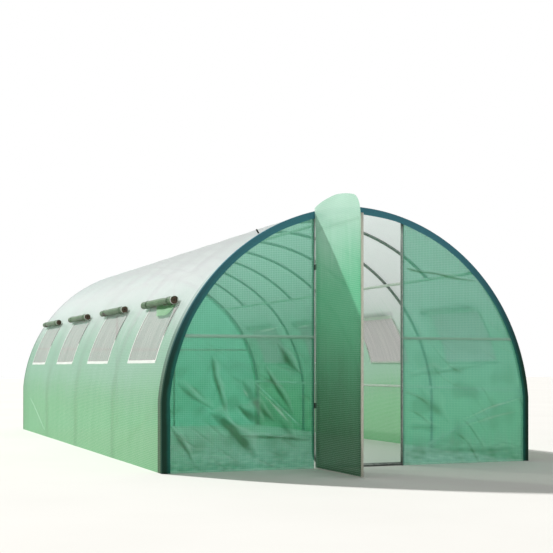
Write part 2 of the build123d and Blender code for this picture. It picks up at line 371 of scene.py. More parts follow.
def surface(tree, shader):
    """Joins a shader to the material's output."""
    add(tree, "ShaderNodeOutputMaterial", {"Surface": shader})


print("ways to treat light: solid, lit from behind and clear")

# %% [markdown]
# ## Woven film
#
# The film is a woven sheet of clear green tapes with a thread grid in it. It mirrors a little, scatters
# most of the light, lets some of it through as a glow on the other side, and shows a veiled view of
# what stands behind. Light through glass is slow to render over 30 square metres, so a plain surface
# is mixed with a glowing one, and both with a clear one.
#
# The colour goes through three tones by height, a deeper green near the ground and paler higher up.
# These tones are painted light and shade: the light on the roof and the shade on the lower walls.
# The thread grid follows the flat coordinates. Creases and bulges are stored on the points of a piece
# when it is made, and a piece without them simply has none. Creases are painted darker, partly for
# the doubled film and partly as painted shade, and bulges and glints are painted highlights.

# %% The film's shader
THREAD_PITCH = 0.013
THREAD_HALF_WIDTH = 0.0011
THREAD_HIDES = 0.3
CREASE_HIDES = 0.75
SHINE_HIDES = 0.8
SHINE_PALES = 0.9
TOWARDS_WHITE = 0.45


def thread_grid(tree, flat):
    """One on the reinforcing threads and zero between them: the distance to the nearest thread, both
    ways, is compared with half a thread."""
    lines = [maths(tree, "LESS_THAN", apart, THREAD_HALF_WIDTH)
             for apart in beside_threads(tree, flat, THREAD_PITCH)]
    return maths(tree, "MAXIMUM", *lines)


def paler(colour):
    """A colour on its way to white, for threads and glints, and for the light that passes through."""
    return tuple(part + (1 - part) * TOWARDS_WHITE for part in colour)


def film(name, tones, heights, clear, glow=0.45, threads=0.35, creased=0.6, deep=None, gloss=0.5):
    """Translucent woven film. Its colour goes through three tones between three heights, which blotches
    and streaks shift a little; these tones are painted light and shade. Threads are paler and let less
    through. Creases go towards a deep tone, partly doubled film and partly painted shade, and the bulges
    beside them and the glints, stored as shine, are paler, as painted highlights. Both hide what is
    behind. clear is the share that is seen through, and glow the share of the rest that is lit from
    behind."""
    low, middle, high = tones
    material, tree = new_material(name)
    place, flat = solid_place(tree), flat_place(tree)
    blotches = noise(tree, place, 2.2, 5.0)
    streaks = noise(tree, stretched(tree, flat, (9.0, 0.7, 1.0)), 3.0, 2.0)
    uneven = maths(tree, "MULTIPLY_ADD", maths(tree, "ADD", blotches, streaks), 0.5, -0.5)
    level = maths(tree, "MULTIPLY_ADD", uneven, 0.5, parts_of(tree, place)["Z"])
    # Painted light and shade: three tones by height, darker low down and paler high up.
    colour = mixed(tree, ramp(tree, level, *heights[:2]), low, middle)
    colour = mixed(tree, ramp(tree, level, *heights[1:]), colour, high)

    weave = thread_grid(tree, flat)
    crease, shine = (add(tree, "ShaderNodeAttribute", attribute_name=stored).outputs["Fac"]
                     for stored in ("crease", "shine"))
    colour = mixed(tree, times(tree, weave, threads), colour, paler(high))
    # Painted shade, partly doubled film: creases go towards the deep tone.
    colour = mixed(tree, times(tree, crease, creased), colour, deep or tuple(0.3 * part for part in low))
    # Painted highlight: the shine goes towards a pale tone.
    colour = mixed(tree, times(tree, shine, SHINE_PALES), colour, paler(high))

    more = {"IOR": 1.5, "Specular IOR Level": gloss, "Normal": bumped(tree, weave, 0.12, 0.0006)}
    body = blend(tree, glow, solid(tree, colour, 0.32, more), lit_behind(tree, colour))
    between_threads = maths(tree, "MULTIPLY_ADD", weave, -THREAD_HIDES * clear, clear)
    hidden = maths(tree, "MAXIMUM", times(tree, crease, CREASE_HIDES), times(tree, shine, SHINE_HIDES))
    seen_through = times(tree, between_threads, maths(tree, "SUBTRACT", 1.0, hidden))
    surface(tree, blend(tree, seen_through, body, clear_view(tree, paler(low))))
    return material


print(f"threads every {1000 * THREAD_PITCH:.0f} mm")

# %% [markdown]
# ## Steel and coated tube
#
# Hoops, bows and posts are dull galvanised steel. Purlins, rails and braces have a paler, less metal copy
# of that finish, which is painted light: it stands for the light these tubes catch, so they read as pale
# lines through the film. The door's own frame is a pale coated tube. What they share is soft streaks
# along the tube. Noise that is drawn out in that direction makes them, and finer spots break up the
# gloss.

# %% Steel
SPOT_SHARE = 0.35


def coated_steel(name, dark, pale, metallic, roughness):
    """Round tube: two tones of the finish, mixed by noise drawn out along the tube and a share of finer
    spots, and a gloss that varies with the same mix."""
    material, tree = new_material(name)
    streaks = noise(tree, stretched(tree, flat_place(tree), (6.0, 60.0, 1.0)), 4.0, 4.0)
    spots = noise(tree, solid_place(tree), 90.0, 4.0)
    share = maths(tree, "MULTIPLY_ADD", spots, SPOT_SHARE, times(tree, streaks, 1 - SPOT_SHARE))
    tone = mixed(tree, ramp(tree, share, 0.3, 0.7), dark, pale)
    rough = maths(tree, "MULTIPLY_ADD", share, 0.25, roughness - 0.12)
    more = {"Metallic": metallic, "Normal": bumped(tree, spots, 0.08, 0.0004)}
    surface(tree, solid(tree, tone, rough, more))
    return material


galvanised = coated_steel("galvanised_tube", srgb(116, 124, 120), srgb(172, 180, 174), 0.8, 0.38)
# A paler, less metal copy of the galvanised finish, painted lighter for the light that purlins, rails and
# braces catch.
galvanised_painted_lit = coated_steel("galvanised_tube_painted_lit", srgb(204, 208, 200), srgb(236, 238, 232), 0.1, 0.45)
coated_tube = coated_steel("coated_leaf_tube", srgb(205, 205, 188), srgb(232, 230, 216), 0.0, 0.38)
print("3 finishes for tubes")

# %% [markdown]
# ## Tubes with a real round
#
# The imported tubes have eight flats, which keeps that model light. Here each of them gets a smooth round
# tube on the same centre line. A hoop's line is the formula of the arch, from one foot to the other. The
# real tube has a short tight bend where the leg meets the bow and another at the ridge. The line turns
# by less than five degrees at each of them, so it can do without.

# %% Bent hoops and roof bows
def tube_shape(path, radius=TUBE_RADIUS, across=(0, 1, 0), sides=24):
    """A tube round a path: each point is the path's plus radius times (cos of the turn times the
    sideways direction, plus sin of the turn times across). Both ends are closed."""
    path = np.asarray(path, float)
    forward = np.gradient(path, axis=0)
    forward /= np.linalg.norm(forward, axis=1)[:, None]
    across = np.broadcast_to(np.asarray(across, float), path.shape)
    sideways = np.cross(across, forward)
    sideways /= np.linalg.norm(sideways, axis=1)[:, None]
    turn = np.linspace(0, 2 * math.pi, sides, endpoint=False)[None, :, None]
    ring = np.cos(turn) * sideways[:, None] + np.sin(turn) * across[:, None]
    points = path[:, None] + radius * ring
    flat = stacked(run_along(path)[:, None], turn[:, :, 0] * radius)
    last = (len(path) - 1) * sides
    caps = (np.arange(sides), np.arange(last, last + sides)[::-1])
    quads = grid_quads(len(path), sides, closed=True)[:, ::-1]
    return points.reshape(-1, 3), quads, caps, flat.reshape(-1, 2)


def round_tube(node, line, material, across=(0, 1, 0), radius=TUBE_RADIUS, sides=24):
    """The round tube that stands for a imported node. A node of the leaf has that word in its name."""
    body, slot = ("leaf", "leaf_tube") if node.startswith("leaf") else ("tunnel", "tube")
    piece(node + "_round", tube_shape(line, radius, across, sides), body, material, [node])


def in_plane(line, y):
    """Points x and z put into the upright plane at y."""
    return stacked(line[:, 0], y, line[:, 1])


def bow_line(reach, count=64):
    """Points along the arch's centre line, reach metres each side of the ridge, as x and z."""
    return stacked(*arch(np.linspace(-reach, reach, 2 * count + 1), 0.0))


foot = np.array([[-leg_x, 0.0]])
hoop_line = np.concatenate([foot, bow_line(bow_length), foot * (-1, 1)])
for number in range(1, BAYS + 2):
    node = f"hoop_{number}"
    round_tube(node, in_plane(hoop_line, box_middle(node, 1)), galvanised)
for number in range(1, BAYS + 1):
    node = f"roof_bow_{number}"
    reach = along_at(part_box(node)[0].z + TUBE_RADIUS * math.sin(math.pi / 4), 0.0)
    round_tube(node, in_plane(bow_line(reach), box_middle(node, 1)), galvanised)
print(BAYS + 1, "hoops and", BAYS, "roof bows")

# %% [markdown]
# A straight tube needs only its two ends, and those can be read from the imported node's box. A tube that
# runs level or upright fills its box, so its line goes from the middle of one face to the middle of the
# opposite one. A few points spaced along it keep the flat coordinates even.

# %% Straight tubes
def level_line(node, axis, count=9):
    """Centre line along one direction of a node's box: its middle, moved to its low and high faces."""
    low, high = (np.array(corner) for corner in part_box(node))
    start, end = (low + high) / 2, (low + high) / 2
    start[axis], end[axis] = low[axis], high[axis]
    return np.linspace(start, end, count)


PURLINS = ("ridge_purlin", "shoulder_purlin_left", "shoulder_purlin_right", "side_purlin_left",
           "side_purlin_right")
STRAIGHT_TUBES = [(PURLINS, 1, 33, galvanised_painted_lit),
                  (("front_rail_left", "front_rail_right"), 0, 9, galvanised_painted_lit),
                  (("door_jamb_right", "rear_post_left", "rear_post_right"), 2, 9, galvanised),
                  (("leaf_hinge_stile", "leaf_free_stile"), 2, 9, coated_tube),
                  (("leaf_bottom_rail", "leaf_top_rail"), 1, 9, coated_tube)]
for nodes, axis, count, finish in STRAIGHT_TUBES:
    for node in nodes:
        round_tube(node, level_line(node, axis, count), finish, (0, 0, 1) if axis == 1 else (0, 1, 0))
print(sum(len(nodes) for nodes, *_ in STRAIGHT_TUBES), "straight tubes")

# %% [markdown]
# The rear rail is in three lengths, because two posts stand in its way. Each length ends at the side of
# a post, and the three are put together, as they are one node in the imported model.

# %% Rear rail
post_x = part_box("rear_post_right")[0].x + TUBE_RADIUS
rail_low, rail_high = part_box("rear_rail")
rail_z = box_middle("rear_rail", 2)
rail_stops = [(rail_low.x, -post_x - TUBE_RADIUS), (-post_x + TUBE_RADIUS, post_x - TUBE_RADIUS),
              (post_x + TUBE_RADIUS, rail_high.x)]
rails = [tube_shape(np.linspace((start, rear_y, rail_z), (end, rear_y, rail_z), 5))
         for start, end in rail_stops]
piece("rear_rail_round", together(*rails), "tunnel", galvanised_painted_lit, ["rear_rail"])
print("rear rail in", len(rails), "lengths")

# %% [markdown]
# A brace slopes from high on an end hoop to a foot further along the wall, so its line joins two
# opposite edges of its box. Its top is the end that lies at the hoop, and the side of the tunnel it is
# on says which way it leans. The left door post isn't straight: it turns into the sill through a
# quarter circle, and one tube follows both.

# %% Braces and the left door post
BRACE_SIDES = 16
SILL_BEND = 0.11


def brace_line(node, top_y, count=9):
    """Centre line of a brace, from its top at top_y down to the foot at the box's other end."""
    low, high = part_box(node)
    side = 1 if low.x > 0 else -1
    inner, outer = (low.x, high.x) if side > 0 else (high.x, low.x)
    foot_y = low.y if abs(top_y - high.y) < abs(top_y - low.y) else high.y
    start = (inner + side * BRACE_RADIUS, top_y, high.z - BRACE_RADIUS)
    end = (outer - side * BRACE_RADIUS, foot_y, low.z + BRACE_RADIUS)
    return np.linspace(start, end, count)


for end, top_y in (("front", front_y), ("rear", rear_y)):
    for side in ("left", "right"):
        node = f"{end}_brace_{side}"
        round_tube(node, brace_line(node, top_y), galvanised_painted_lit, (1, 0, 0), BRACE_RADIUS, BRACE_SIDES)

jamb_low, jamb_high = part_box("door_jamb_left")
jamb_x = jamb_low.x + TUBE_RADIUS
turn = np.linspace(0, math.pi / 2, 13)[:, None]
bend = np.array([jamb_x, TUBE_RADIUS]) + SILL_BEND * np.hstack([1 - np.cos(turn), 1 - np.sin(turn)])
jamb_line = np.concatenate([[[jamb_x, jamb_high.z]], bend, [[jamb_high.x, TUBE_RADIUS]]])
round_tube("door_jamb_left", in_plane(jamb_line, front_y), galvanised)
print("4 braces and the bent door post")

# %% [markdown]
# ## Soft, repeatable unevenness
#
# Real film never lies quite flat. A sum of a few sine waves in random directions gives a smooth
# unevenness with no grid in it. The random numbers come from a seeded generator, so the sheets have the
# same creases on every run.

# %% Waves
WAVES_ADDED = 7


def waves(u, v, length, height, seed, stretch=1.0):
    """Sum of sine waves over u and v with lengths near length, each in its own direction, scaled so
    that the whole stays near plus or minus height. stretch lengthens the waves along v."""
    draw = np.random.default_rng(seed)
    total = np.zeros(np.broadcast(u, v).shape)
    for _ in range(WAVES_ADDED):
        direction, phase = draw.uniform(0, 2 * math.pi, 2)
        size = 2 * math.pi / (length * draw.uniform(0.6, 1.6))
        total += np.sin(size * (u * math.cos(direction) + v * math.sin(direction) / stretch) + phase)
    return total * height / math.sqrt(WAVES_ADDED)


sample = waves(np.linspace(0, 6, 600), 0.0, 0.16, 1.0, 11)
print(f"waves of height 1 reach from {sample.min():.2f} to {sample.max():.2f}")

# %% [markdown]
# ## The cover
#
# The cover is one sheet, about five and a half metres round by six long. As a function of the distance
# along the arch and the place along the tunnel it is a simple grid. A window is cut into each wall in
# the middle of every bay, and the edges of the windows are given as places in that grid.

# %% Window places
WINDOW_WIDTH = 0.8
WINDOW_LOW = 0.79
WINDOW_HIGH = 1.2
window_sill = along_at(WINDOW_LOW)
window_head = along_at(WINDOW_HIGH)
window_middles = front_y + bay_length * (np.arange(BAYS) + 0.5)
window_sides = [(middle - WINDOW_WIDTH / 2, middle + WINDOW_WIDTH / 2) for middle in window_middles]
print("windows from", [round(low - front_y, 2) for low, _ in window_sides], "m behind the front hoop")

# %% [markdown]
# Between hoops the film is pulled a little inwards, because it is stretched down to the ground, and on
# the roof the extra bows hold it up halfway. Small upright ripples come on top. A cloth simulation could
# find such a form, but a formula gives it at any point, so the windows and rolls can lie on it too.

# %% How the film hangs
WALL_SAG = 0.007
ROOF_SAG = 0.003
SAG_AT_GROUND = 0.35
GROUND_REACH = 0.3
ROOF_FROM = 1.35
ROOF_BLEND = 0.08
# Each ripple is a length and a height in metres, a seed, and how much longer it is up the wall.
RIPPLES = ((0.16, 0.0011, 11, 7.0), (0.5, 0.0012, 12, 2.0))
RIPPLE_ON_HOOP = 0.25


def sag(along, y):
    """How far the film lies inside its full form between hoops: a squared sine along the tunnel, with
    one wave to a bay on the walls and two on the roof, where the bows help. An S curve over the
    distance along the arch goes from one to the other. Near the ground, where the film is held, it is
    less."""
    wall = np.sin(math.pi * (y - front_y) / bay_length) ** 2
    roof = np.sin(2 * math.pi * (y - front_y) / bay_length) ** 2
    on_roof = 1 / (1 + np.exp((np.abs(along) - along_at(ROOF_FROM)) / ROOF_BLEND))
    off_ground = np.clip((half_girth - np.abs(along)) / GROUND_REACH, 0, 1)
    hollow = WALL_SAG * wall * (1 - on_roof) + ROOF_SAG * roof * on_roof
    return hollow * (SAG_AT_GROUND + (1 - SAG_AT_GROUND) * off_ground)


def cover_outside(along, y):
    """Distance of the film outside the hoops' centre line: its full place, less the sag, plus ripples
    that run up and down the walls and are calmer over the hoops."""
    ripple = sum(waves(y, along, *kind) for kind in RIPPLES)
    off_hoop = np.sin(math.pi * (y - front_y) / bay_length) ** 2
    return SKIN_OUTER - sag(along, y) + ripple * (RIPPLE_ON_HOOP + (1 - RIPPLE_ON_HOOP) * off_hoop)


def on_skin(along, y, proud=0.0):
    """Point on the film at a distance along the arch and a place y, proud of it."""
    x, z = arch(along, cover_outside(along, y) + proud)
    return stacked(x, y, z)


print(f"in the middle of a bay the wall lies {1000 * float(sag(1.5, window_middles[0])):.0f} mm inwards")

# %% [markdown]
# The window openings are left out of the grid, so its lines are placed to run along their edges. Cutting
# them with a Boolean would work too, but it leaves long thin faces beside the cut, and even ones carry
# the ripples better. The faces in an opening are dropped, with the points that nothing uses any more.

# %% The cover sheet
GRID_STEP = 0.026
COVER_HEIGHTS = (0.3, 0.85, 1.42)


def lines_through(marks, step):
    """Evenly spaced values that also pass exactly through every mark, with steps of about step."""
    runs = [np.linspace(start, end, max(2, round((end - start) / step) + 1))[:-1]
            for start, end in zip(marks[:-1], marks[1:])]
    return np.concatenate([*runs, marks[-1:]])


# The cover's tones by height are painted light and shade: near white on the roof, where the light falls,
# and a deeper green on the lower walls, which are in shade.
cover_film = film("cover_film", (srgb(118, 196, 134), srgb(153, 198, 172), srgb(226, 225, 229)),
                  COVER_HEIGHTS, clear=0.14)
skin_front, skin_rear = front_y - SKIN_OUTER, rear_y + SKIN_OUTER
half_marks = np.array([0.0, window_head, window_sill, bow_length, half_girth])
along_lines = lines_through(np.concatenate([-half_marks[:0:-1], half_marks]), GRID_STEP)
y_lines = lines_through(np.array([skin_front, *np.ravel(window_sides), skin_rear]), GRID_STEP)
cell_along = np.abs((along_lines[1:] + along_lines[:-1]) / 2)[None, :]
cell_y = ((y_lines[1:] + y_lines[:-1]) / 2)[:, None]
in_height = (cell_along > window_head) & (cell_along < window_sill)
in_width = np.any([(cell_y > low) & (cell_y < high) for low, high in window_sides], axis=0)

along, y = along_lines[None, :], y_lines[:, None]
cover_shape = sheet_shape(on_skin(along, y), stacked(y, along), ~(in_height & in_width))
cover_nodes = [f"cover_{part}_{side}" for part in ("wall", "windows", "shoulder", "roof")
               for side in ("left", "right")]
cover = piece("cover_sheet", cover_shape, "tunnel", cover_film, cover_nodes)

# %% [markdown]
# A rear brace presses on the film from inside and shows outside as a pale slanting line. The film's own
# grid is too coarse for it, so the line is a narrow strip a hair outside the film, which tapers at both
# ends. Its pale colour is painted light, for the lit tube close behind the film, and hardly anything
# else shows through it.

# %% Lines over the rear braces
MARK_WIDTH = 0.013
MARK_PROUD = 0.0007
MARK_FROM, MARK_TO = 0.3, 0.97
MARK_POINTS = 40
# Pale film that paints the light on the brace seen through the cover.
mark_film = film("film_over_brace", (srgb(178, 226, 196), srgb(184, 228, 200), srgb(190, 230, 204)),
                 (0.1, 0.3, 0.6), clear=0.02, glow=0.3)


def brace_mark(side):
    """The line where a rear brace presses on the film: a narrow grid along part of the brace. Across
    it, each point goes half the width each way, at a right angle to the brace on the wall."""
    line = brace_line("rear_brace_left", rear_y, MARK_POINTS)
    line = line[int(MARK_FROM * MARK_POINTS):int(MARK_TO * MARK_POINTS)]
    forward = line[-1, 1:] - line[0, 1:]
    forward /= np.linalg.norm(forward)
    taper = np.sin(math.pi * np.linspace(0.04, 0.96, len(line)))[:, None] ** 0.4
    aside = MARK_WIDTH * np.linspace(-0.5, 0.5, 3)[None, :] * taper
    y = line[:, 1:2] - forward[1] * aside
    down = half_girth - line[:, 2:] - forward[0] * aside
    shape = sheet_shape(on_skin(side * down, y, MARK_PROUD), stacked(y, down))
    return shape if side < 0 else turned(shape)


marks = together(brace_mark(-1), brace_mark(1))
piece("brace_marks", marks, "tunnel", mark_film)
print("2 lines over the rear braces")

# %% [markdown]
# ## End sheets
#
# Each end of the tunnel is closed by a flat sheet. The one at the front is in two parts, left and right
# of the doorway, and it was never pulled quite tight: long slanting creases run through the lower half
# and a loose hem lies along the ground. Cloth simulation would make folds, but not these ones in these
# places, so they are drawn. Each crease is a bell-shaped groove along a line. Its strength is also
# stored on the points and painted darker, partly because doubled film looks darker and partly as
# painted shade in the groove, and so is the bulge beside it, which is painted paler as a painted
# highlight. A glint is a painted highlight alone, a thin pale line, and some glints stand for lit tubes
# seen through the sheet. Between the drawn lines the sheet has soft folds at random, with painted shade
# and painted highlights on their two sides.

# %% Creases and drapery
def fold(u, v, start, end, width):
    """A crease along a line from start to end: one on the line, and falling with the square of the
    distance from it over width, as a bell. It narrows and fades to nothing at both ends. A second bell
    on the upper side is the bulge beside it, which carries a painted highlight for the light it catches.
    Waves make the line wander."""
    start, end = np.array(start), np.array(end)
    run = end - start
    length = math.hypot(*run)
    forward = ((u - start[0]) * run[0] + (v - start[1]) * run[1]) / length**2
    aside = ((u - start[0]) * run[1] - (v - start[1]) * run[0]) / length
    aside = aside + waves(u, v, 0.3, 0.005, 91)
    swell = np.sin(math.pi * np.clip(forward, 0, 1))
    width = width * (0.35 + 0.75 * swell) * np.clip(1 + waves(u, v, 0.2, 0.4, 92), 0.5, 1.6)
    fade = swell**0.6
    line = np.exp(-((aside / width) ** 2)) * fade
    shine = np.exp(-(((aside + 1.9 * width) / (0.8 * width)) ** 2)) * fade
    return line, shine


def drapery(u, v, slope, spacing, seed):
    """Long soft folds side by side that run down at a slope: one less the size of a sine across them,
    to the fifth power, so that each is a narrow ridge. Waves bend them, and other waves fade them."""
    across = u * math.sin(slope) + v * math.cos(slope) + waves(u, v, 0.7, 0.05, seed)
    ridge = (1 - np.abs(np.sin(math.pi * across / spacing))) ** 5
    return ridge * np.clip(waves(u, v, 0.4, 1.2, seed + 1), 0, 1)


def point_values(made, name, values):
    """Stores one number for each point of a piece, for its material to read."""
    attribute = made.data.attributes.new(name, "FLOAT", "POINT")
    attribute.data.foreach_set("value", np.asarray(values, np.float32).ravel())


# Each fold is a start and an end, across and up in metres, then its width and its strength.
LEFT_CREASES = [((-1.14, 0.82), (-1.03, 0.42), 0.015, 1.0), ((-1.39, 0.63), (-1.12, 0.43), 0.02, 0.8),
                ((-1.44, 0.34), (-1.25, 0.06), 0.014, 0.9), ((-1.16, 0.41), (-0.95, 0.3), 0.026, 0.8),
                ((-1.06, 0.38), (-0.79, 0.1), 0.034, 1.0), ((-0.94, 0.47), (-0.75, 0.32), 0.028, 0.9),
                ((-0.83, 0.5), (-0.66, 0.35), 0.022, 0.9), ((-0.74, 0.76), (-0.51, 0.4), 0.015, 1.0),
                ((-0.65, 0.91), (-0.44, 0.68), 0.018, 1.0), ((-0.92, 0.255), (-0.34, 0.208), 0.009, 1.0),
                ((-0.9, 0.66), (-0.8, 0.44), 0.024, 0.6), ((-0.62, 0.36), (-0.5, 0.22), 0.02, 0.6)]
# Glints are painted highlights: thin pale lines, some of them standing for lit tubes seen through the
# sheet.
LEFT_GLINTS = [((-0.784, 0.574), (-0.546, 0.346), 0.006, 1.4), ((-0.79, 1.0), (-0.63, 1.025), 0.007, 1.3),
               ((-0.48, 1.029), (-0.36, 1.048), 0.006, 0.8), ((-0.9, 0.59), (-0.86, 0.52), 0.006, 0.8)]
RIGHT_CREASES = [((0.36, 1.503), (0.56, 1.46), 0.007, 1.0), ((0.5, 1.47), (0.78, 1.438), 0.008, 1.0),
                 ((0.66, 1.449), (1.06, 1.405), 0.008, 0.9), ((0.405, 0.668), (1.12, 0.755), 0.02, 0.45),
                 ((0.5, 0.6), (0.78, 0.3), 0.03, 0.35), ((0.4, 0.29), (0.72, 0.27), 0.02, 0.5),
                 ((0.42, 0.11), (1.42, 0.085), 0.022, 0.5)]
RIGHT_GLINTS = [((0.9, 0.34), (1.43, 0.5), 0.006, 0.7), ((0.93, 0.29), (1.42, 0.4), 0.008, 0.5)]
print(len(LEFT_CREASES + RIGHT_CREASES), "creases and", len(LEFT_GLINTS + RIGHT_GLINTS), "glints")

# %% [markdown]
# The form of a sheet is how far each of its points stands back from its plane. It is the sum of the
# creases, the soft folds, broad waves and the crumpled hem, and it is zero where a post, rail, leg or
# bow holds the sheet. A pale line is painted along the top of the rail inside, a painted highlight for
# the lit tube seen through the sheet, and another along the edge on the ground, a painted reflection
# on the hem.

# %% Form of an end sheet
HEM_TOP = 0.2
FOLDS_BELOW, FOLDS_BLEND = 1.1, 0.5
CREASE_DEPTH, SOFT_DEPTH, CRUMPLE_DEPTH = 0.008, 0.005, 0.004
BROAD_HEIGHT, BROAD_BACK, CALM_ABOVE = 0.004, 0.006, 0.25
DEEPEST_FOLD = 0.02
DRAPE_SLOPE, DRAPE_SPACING = math.radians(35), 0.12
LINE_HALF_WIDTH = 0.008
ARCH_REACH, LEG_REACH, POST_REACH, RAIL_REACH = 0.12, 0.08, 0.08, 0.07


def height_at(across, outside):
    """Height of the bow at a distance across: the centre's z plus the root of the squared radius less
    the squared distance beside the centre."""
    beside = np.minimum(np.abs(across) - bow_x, BOW_RADIUS + outside)
    return bow_z + np.sqrt((BOW_RADIUS + outside) ** 2 - beside**2)


def held_by_tubes(across, up, inner_x, rail):
    """Zero where a tube holds the sheet and one away from tubes: the least of the distances to the
    arch, the leg, the post at inner_x and the rail's height, each over its own reach."""
    from_arch = (height_at(across, 0.0) - up) / ARCH_REACH
    from_leg = (leg_x - np.abs(across)) / LEG_REACH
    from_post = np.abs(across - inner_x) / POST_REACH
    from_rail = (np.abs(up - rail) - TUBE_RADIUS) / RAIL_REACH
    return np.clip(np.minimum.reduce([from_arch, from_leg, from_post, from_rail]), 0, 1)


def end_sheet_form(across, up, creases, glints, inner_x, rail, seed):
    """How far an end sheet stands back from its plane, and where it is painted darker and where paler:
    drawn creases and glints, soft drapery in the lower half, broad waves, and a crumpled hem. The darker
    marks are partly doubled film and partly painted shade, and the paler ones are painted highlights.
    The rail's and the ground's pale lines are bells over the height: a painted highlight on the rail
    inside and a painted reflection on the hem."""
    lines = [(strength, *fold(across, up, start, end, width)) for start, end, width, strength in creases]
    crease = sum(strength * line for strength, line, _ in lines)
    shine = sum(strength * bulge for strength, _, bulge in lines)
    low = np.clip((FOLDS_BELOW - up) / FOLDS_BLEND, 0, 1)
    soft = drapery(across, up, DRAPE_SLOPE, DRAPE_SPACING, seed) * low
    dark_patches = np.clip(waves(across, up, 0.22, 1.0, seed + 8) - 0.2, 0, 1) * low
    hem = np.clip(1 - up / HEM_TOP, 0, 1)
    crumple = hem * waves(across, up, 0.1, 0.7, seed + 5, stretch=0.35)
    broad = waves(across, up, 0.45, BROAD_HEIGHT, seed + 2) - BROAD_BACK
    broad = broad * (CALM_ABOVE + (1 - CALM_ABOVE) * low)
    back = CREASE_DEPTH * crease + SOFT_DEPTH * soft + CRUMPLE_DEPTH * crumple - broad

    # Painted shade, partly doubled film: darker along the creases, the soft folds and the hollows of the
    # crumpled hem, and over dark patches at random. Painted highlights: paler on the lit side of the
    # folds and crumples, and along the glints.
    crease = np.clip(crease + 0.6 * soft + 0.35 * dark_patches + 0.4 * np.clip(-crumple, 0, 1), 0, 1)
    shine = np.clip(0.33 * shine + 0.2 * np.roll(soft, 3, axis=1) + 0.35 * np.clip(crumple, 0, 1), 0, 1)
    shine += sum(np.zeros(up.shape) + strength * fold(across, up, start, end, width)[0]
                 for start, end, width, strength in glints)
    # Painted highlight along the top of the rail inside, and a painted reflection along the hem on the
    # ground.
    rail_line = np.exp(-(((up - rail - 0.002) / LINE_HALF_WIDTH) ** 2))
    rail_line = rail_line + 0.35 * np.exp(-(((up - rail) / TUBE_RADIUS) ** 4))
    foot_line = 0.8 * np.exp(-(((up - 0.006) / LINE_HALF_WIDTH) ** 2))
    held = held_by_tubes(across, up, inner_x, rail)
    shine = np.maximum.reduce([shine * held, rail_line, foot_line])
    return np.clip(back, 0, DEEPEST_FOLD) * held, crease * np.clip(2 * held, 0, 1), np.clip(shine, 0, 1)


print("sheets are loose from", POST_REACH, "m beside a post")

# %% [markdown]
# A row of the front sheet runs level from the door post to the arch, so the sheet is a ruled surface
# between those two edges. The film is clearer than the cover's. The right part has a paler copy of it,
# which is painted light for the brighter light on that sheet, so each part has a film of its own.

# %% Front end sheets
PANEL_INSIDE_SKIN = 0.001
PANEL_HEIGHTS = (0.06, 0.3, 1.9)
PANEL_LOOK = {"clear": 0.46, "threads": 0.24, "creased": 0.85}
panel_film = film("end_sheet_film", (srgb(84, 192, 162), srgb(64, 178, 138), srgb(134, 212, 186)),
                  PANEL_HEIGHTS, deep=srgb(42, 104, 56), **PANEL_LOOK)
# A paler copy of the end sheets' film for the right part, painted lighter for the brighter light on that
# sheet.
lighter_painted_tones = (srgb(152, 224, 208), srgb(136, 232, 206), srgb(98, 192, 156))
panel_film_painted_lighter = film("end_sheet_film_painted_lighter", lighter_painted_tones, PANEL_HEIGHTS, deep=srgb(60, 124, 76),
                       **PANEL_LOOK)


def panel_grid(inner_x, outside, rows=270, columns=150):
    """Points across and up of a sheet between an upright edge at inner_x and the arch: a level row
    starts at the edge and ends where the arch has the same height."""
    side = math.copysign(1, inner_x)
    top = along_at(height_at(abs(inner_x), outside), outside)
    edge_x, edge_z = arch(side * np.linspace(half_girth, top, rows), outside)
    share = np.linspace(0, 1, columns)
    across = inner_x + (edge_x - inner_x)[:, None] * share[None, :]
    return across, np.repeat(edge_z[:, None], columns, axis=1)


def front_sheet(name, node, inner_x, creases, glints, seed, material):
    """One part of the front end sheet, with its creases."""
    across, up = panel_grid(inner_x, TUBE_RADIUS)
    rail = box_middle("front_rail_left", 2)
    back, crease, shine = end_sheet_form(across, up, creases, glints, inner_x, rail, seed)
    shape = sheet_shape(stacked(across, skin_front + PANEL_INSIDE_SKIN + back, up), stacked(across, up))
    made = piece(name, turned(shape) if inner_x < 0 else shape, "tunnel", material, [node])
    point_values(made, "crease", crease)
    point_values(made, "shine", shine)


front_sheet("front_sheet_left", "front_panel_left", jamb_x, LEFT_CREASES, LEFT_GLINTS, 21, panel_film)
front_sheet("front_sheet_right", "front_panel_right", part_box("door_jamb_right")[0].x + TUBE_RADIUS,
            RIGHT_CREASES, RIGHT_GLINTS, 31, panel_film_painted_lighter)

# %% [markdown]
# The rear sheet has no doorway, so its grid is simpler: a column runs straight up from the ground to
# the arch. It is tighter, with three creases only, and its whole form is half as deep.

# %% Rear end sheet
REAR_ACROSS, REAR_UP = 241, 90
REAR_DEPTH = 0.5
REAR_STRENGTH = 0.6
REAR_CREASES = LEFT_CREASES[3:6]


edge_x, edge_z = arch(np.linspace(-half_girth, half_girth, REAR_ACROSS), TUBE_RADIUS)
across = np.repeat(edge_x[:, None], REAR_UP, axis=1)
up = edge_z[:, None] * np.linspace(0, 1, REAR_UP)[None, :]
back, crease, shine = end_sheet_form(across, up, REAR_CREASES, (), post_x, rail_z, 41)
rear_points = stacked(across, skin_rear - PANEL_INSIDE_SKIN - REAR_DEPTH * back, up)
rear_sheet = piece("rear_sheet", sheet_shape(rear_points, stacked(across, up)), "tunnel", panel_film,
                   ["rear_panel"])
point_values(rear_sheet, "crease", REAR_STRENGTH * crease)
point_values(rear_sheet, "shine", REAR_STRENGTH * shine)

# %% [markdown]
# ## Hem bands
#
# A woven band is sewn round each end, where the cover meets the end sheet. The front one is a dark
# cloth of its own, greener towards its inner edge. It is painted darkest round the hoop, which is
# painted shade, and bluer high up, which is a painted reflection of the sky. The rear one is film like
# the cover's, a little darker and less clear, with the same painted light and shade by height.

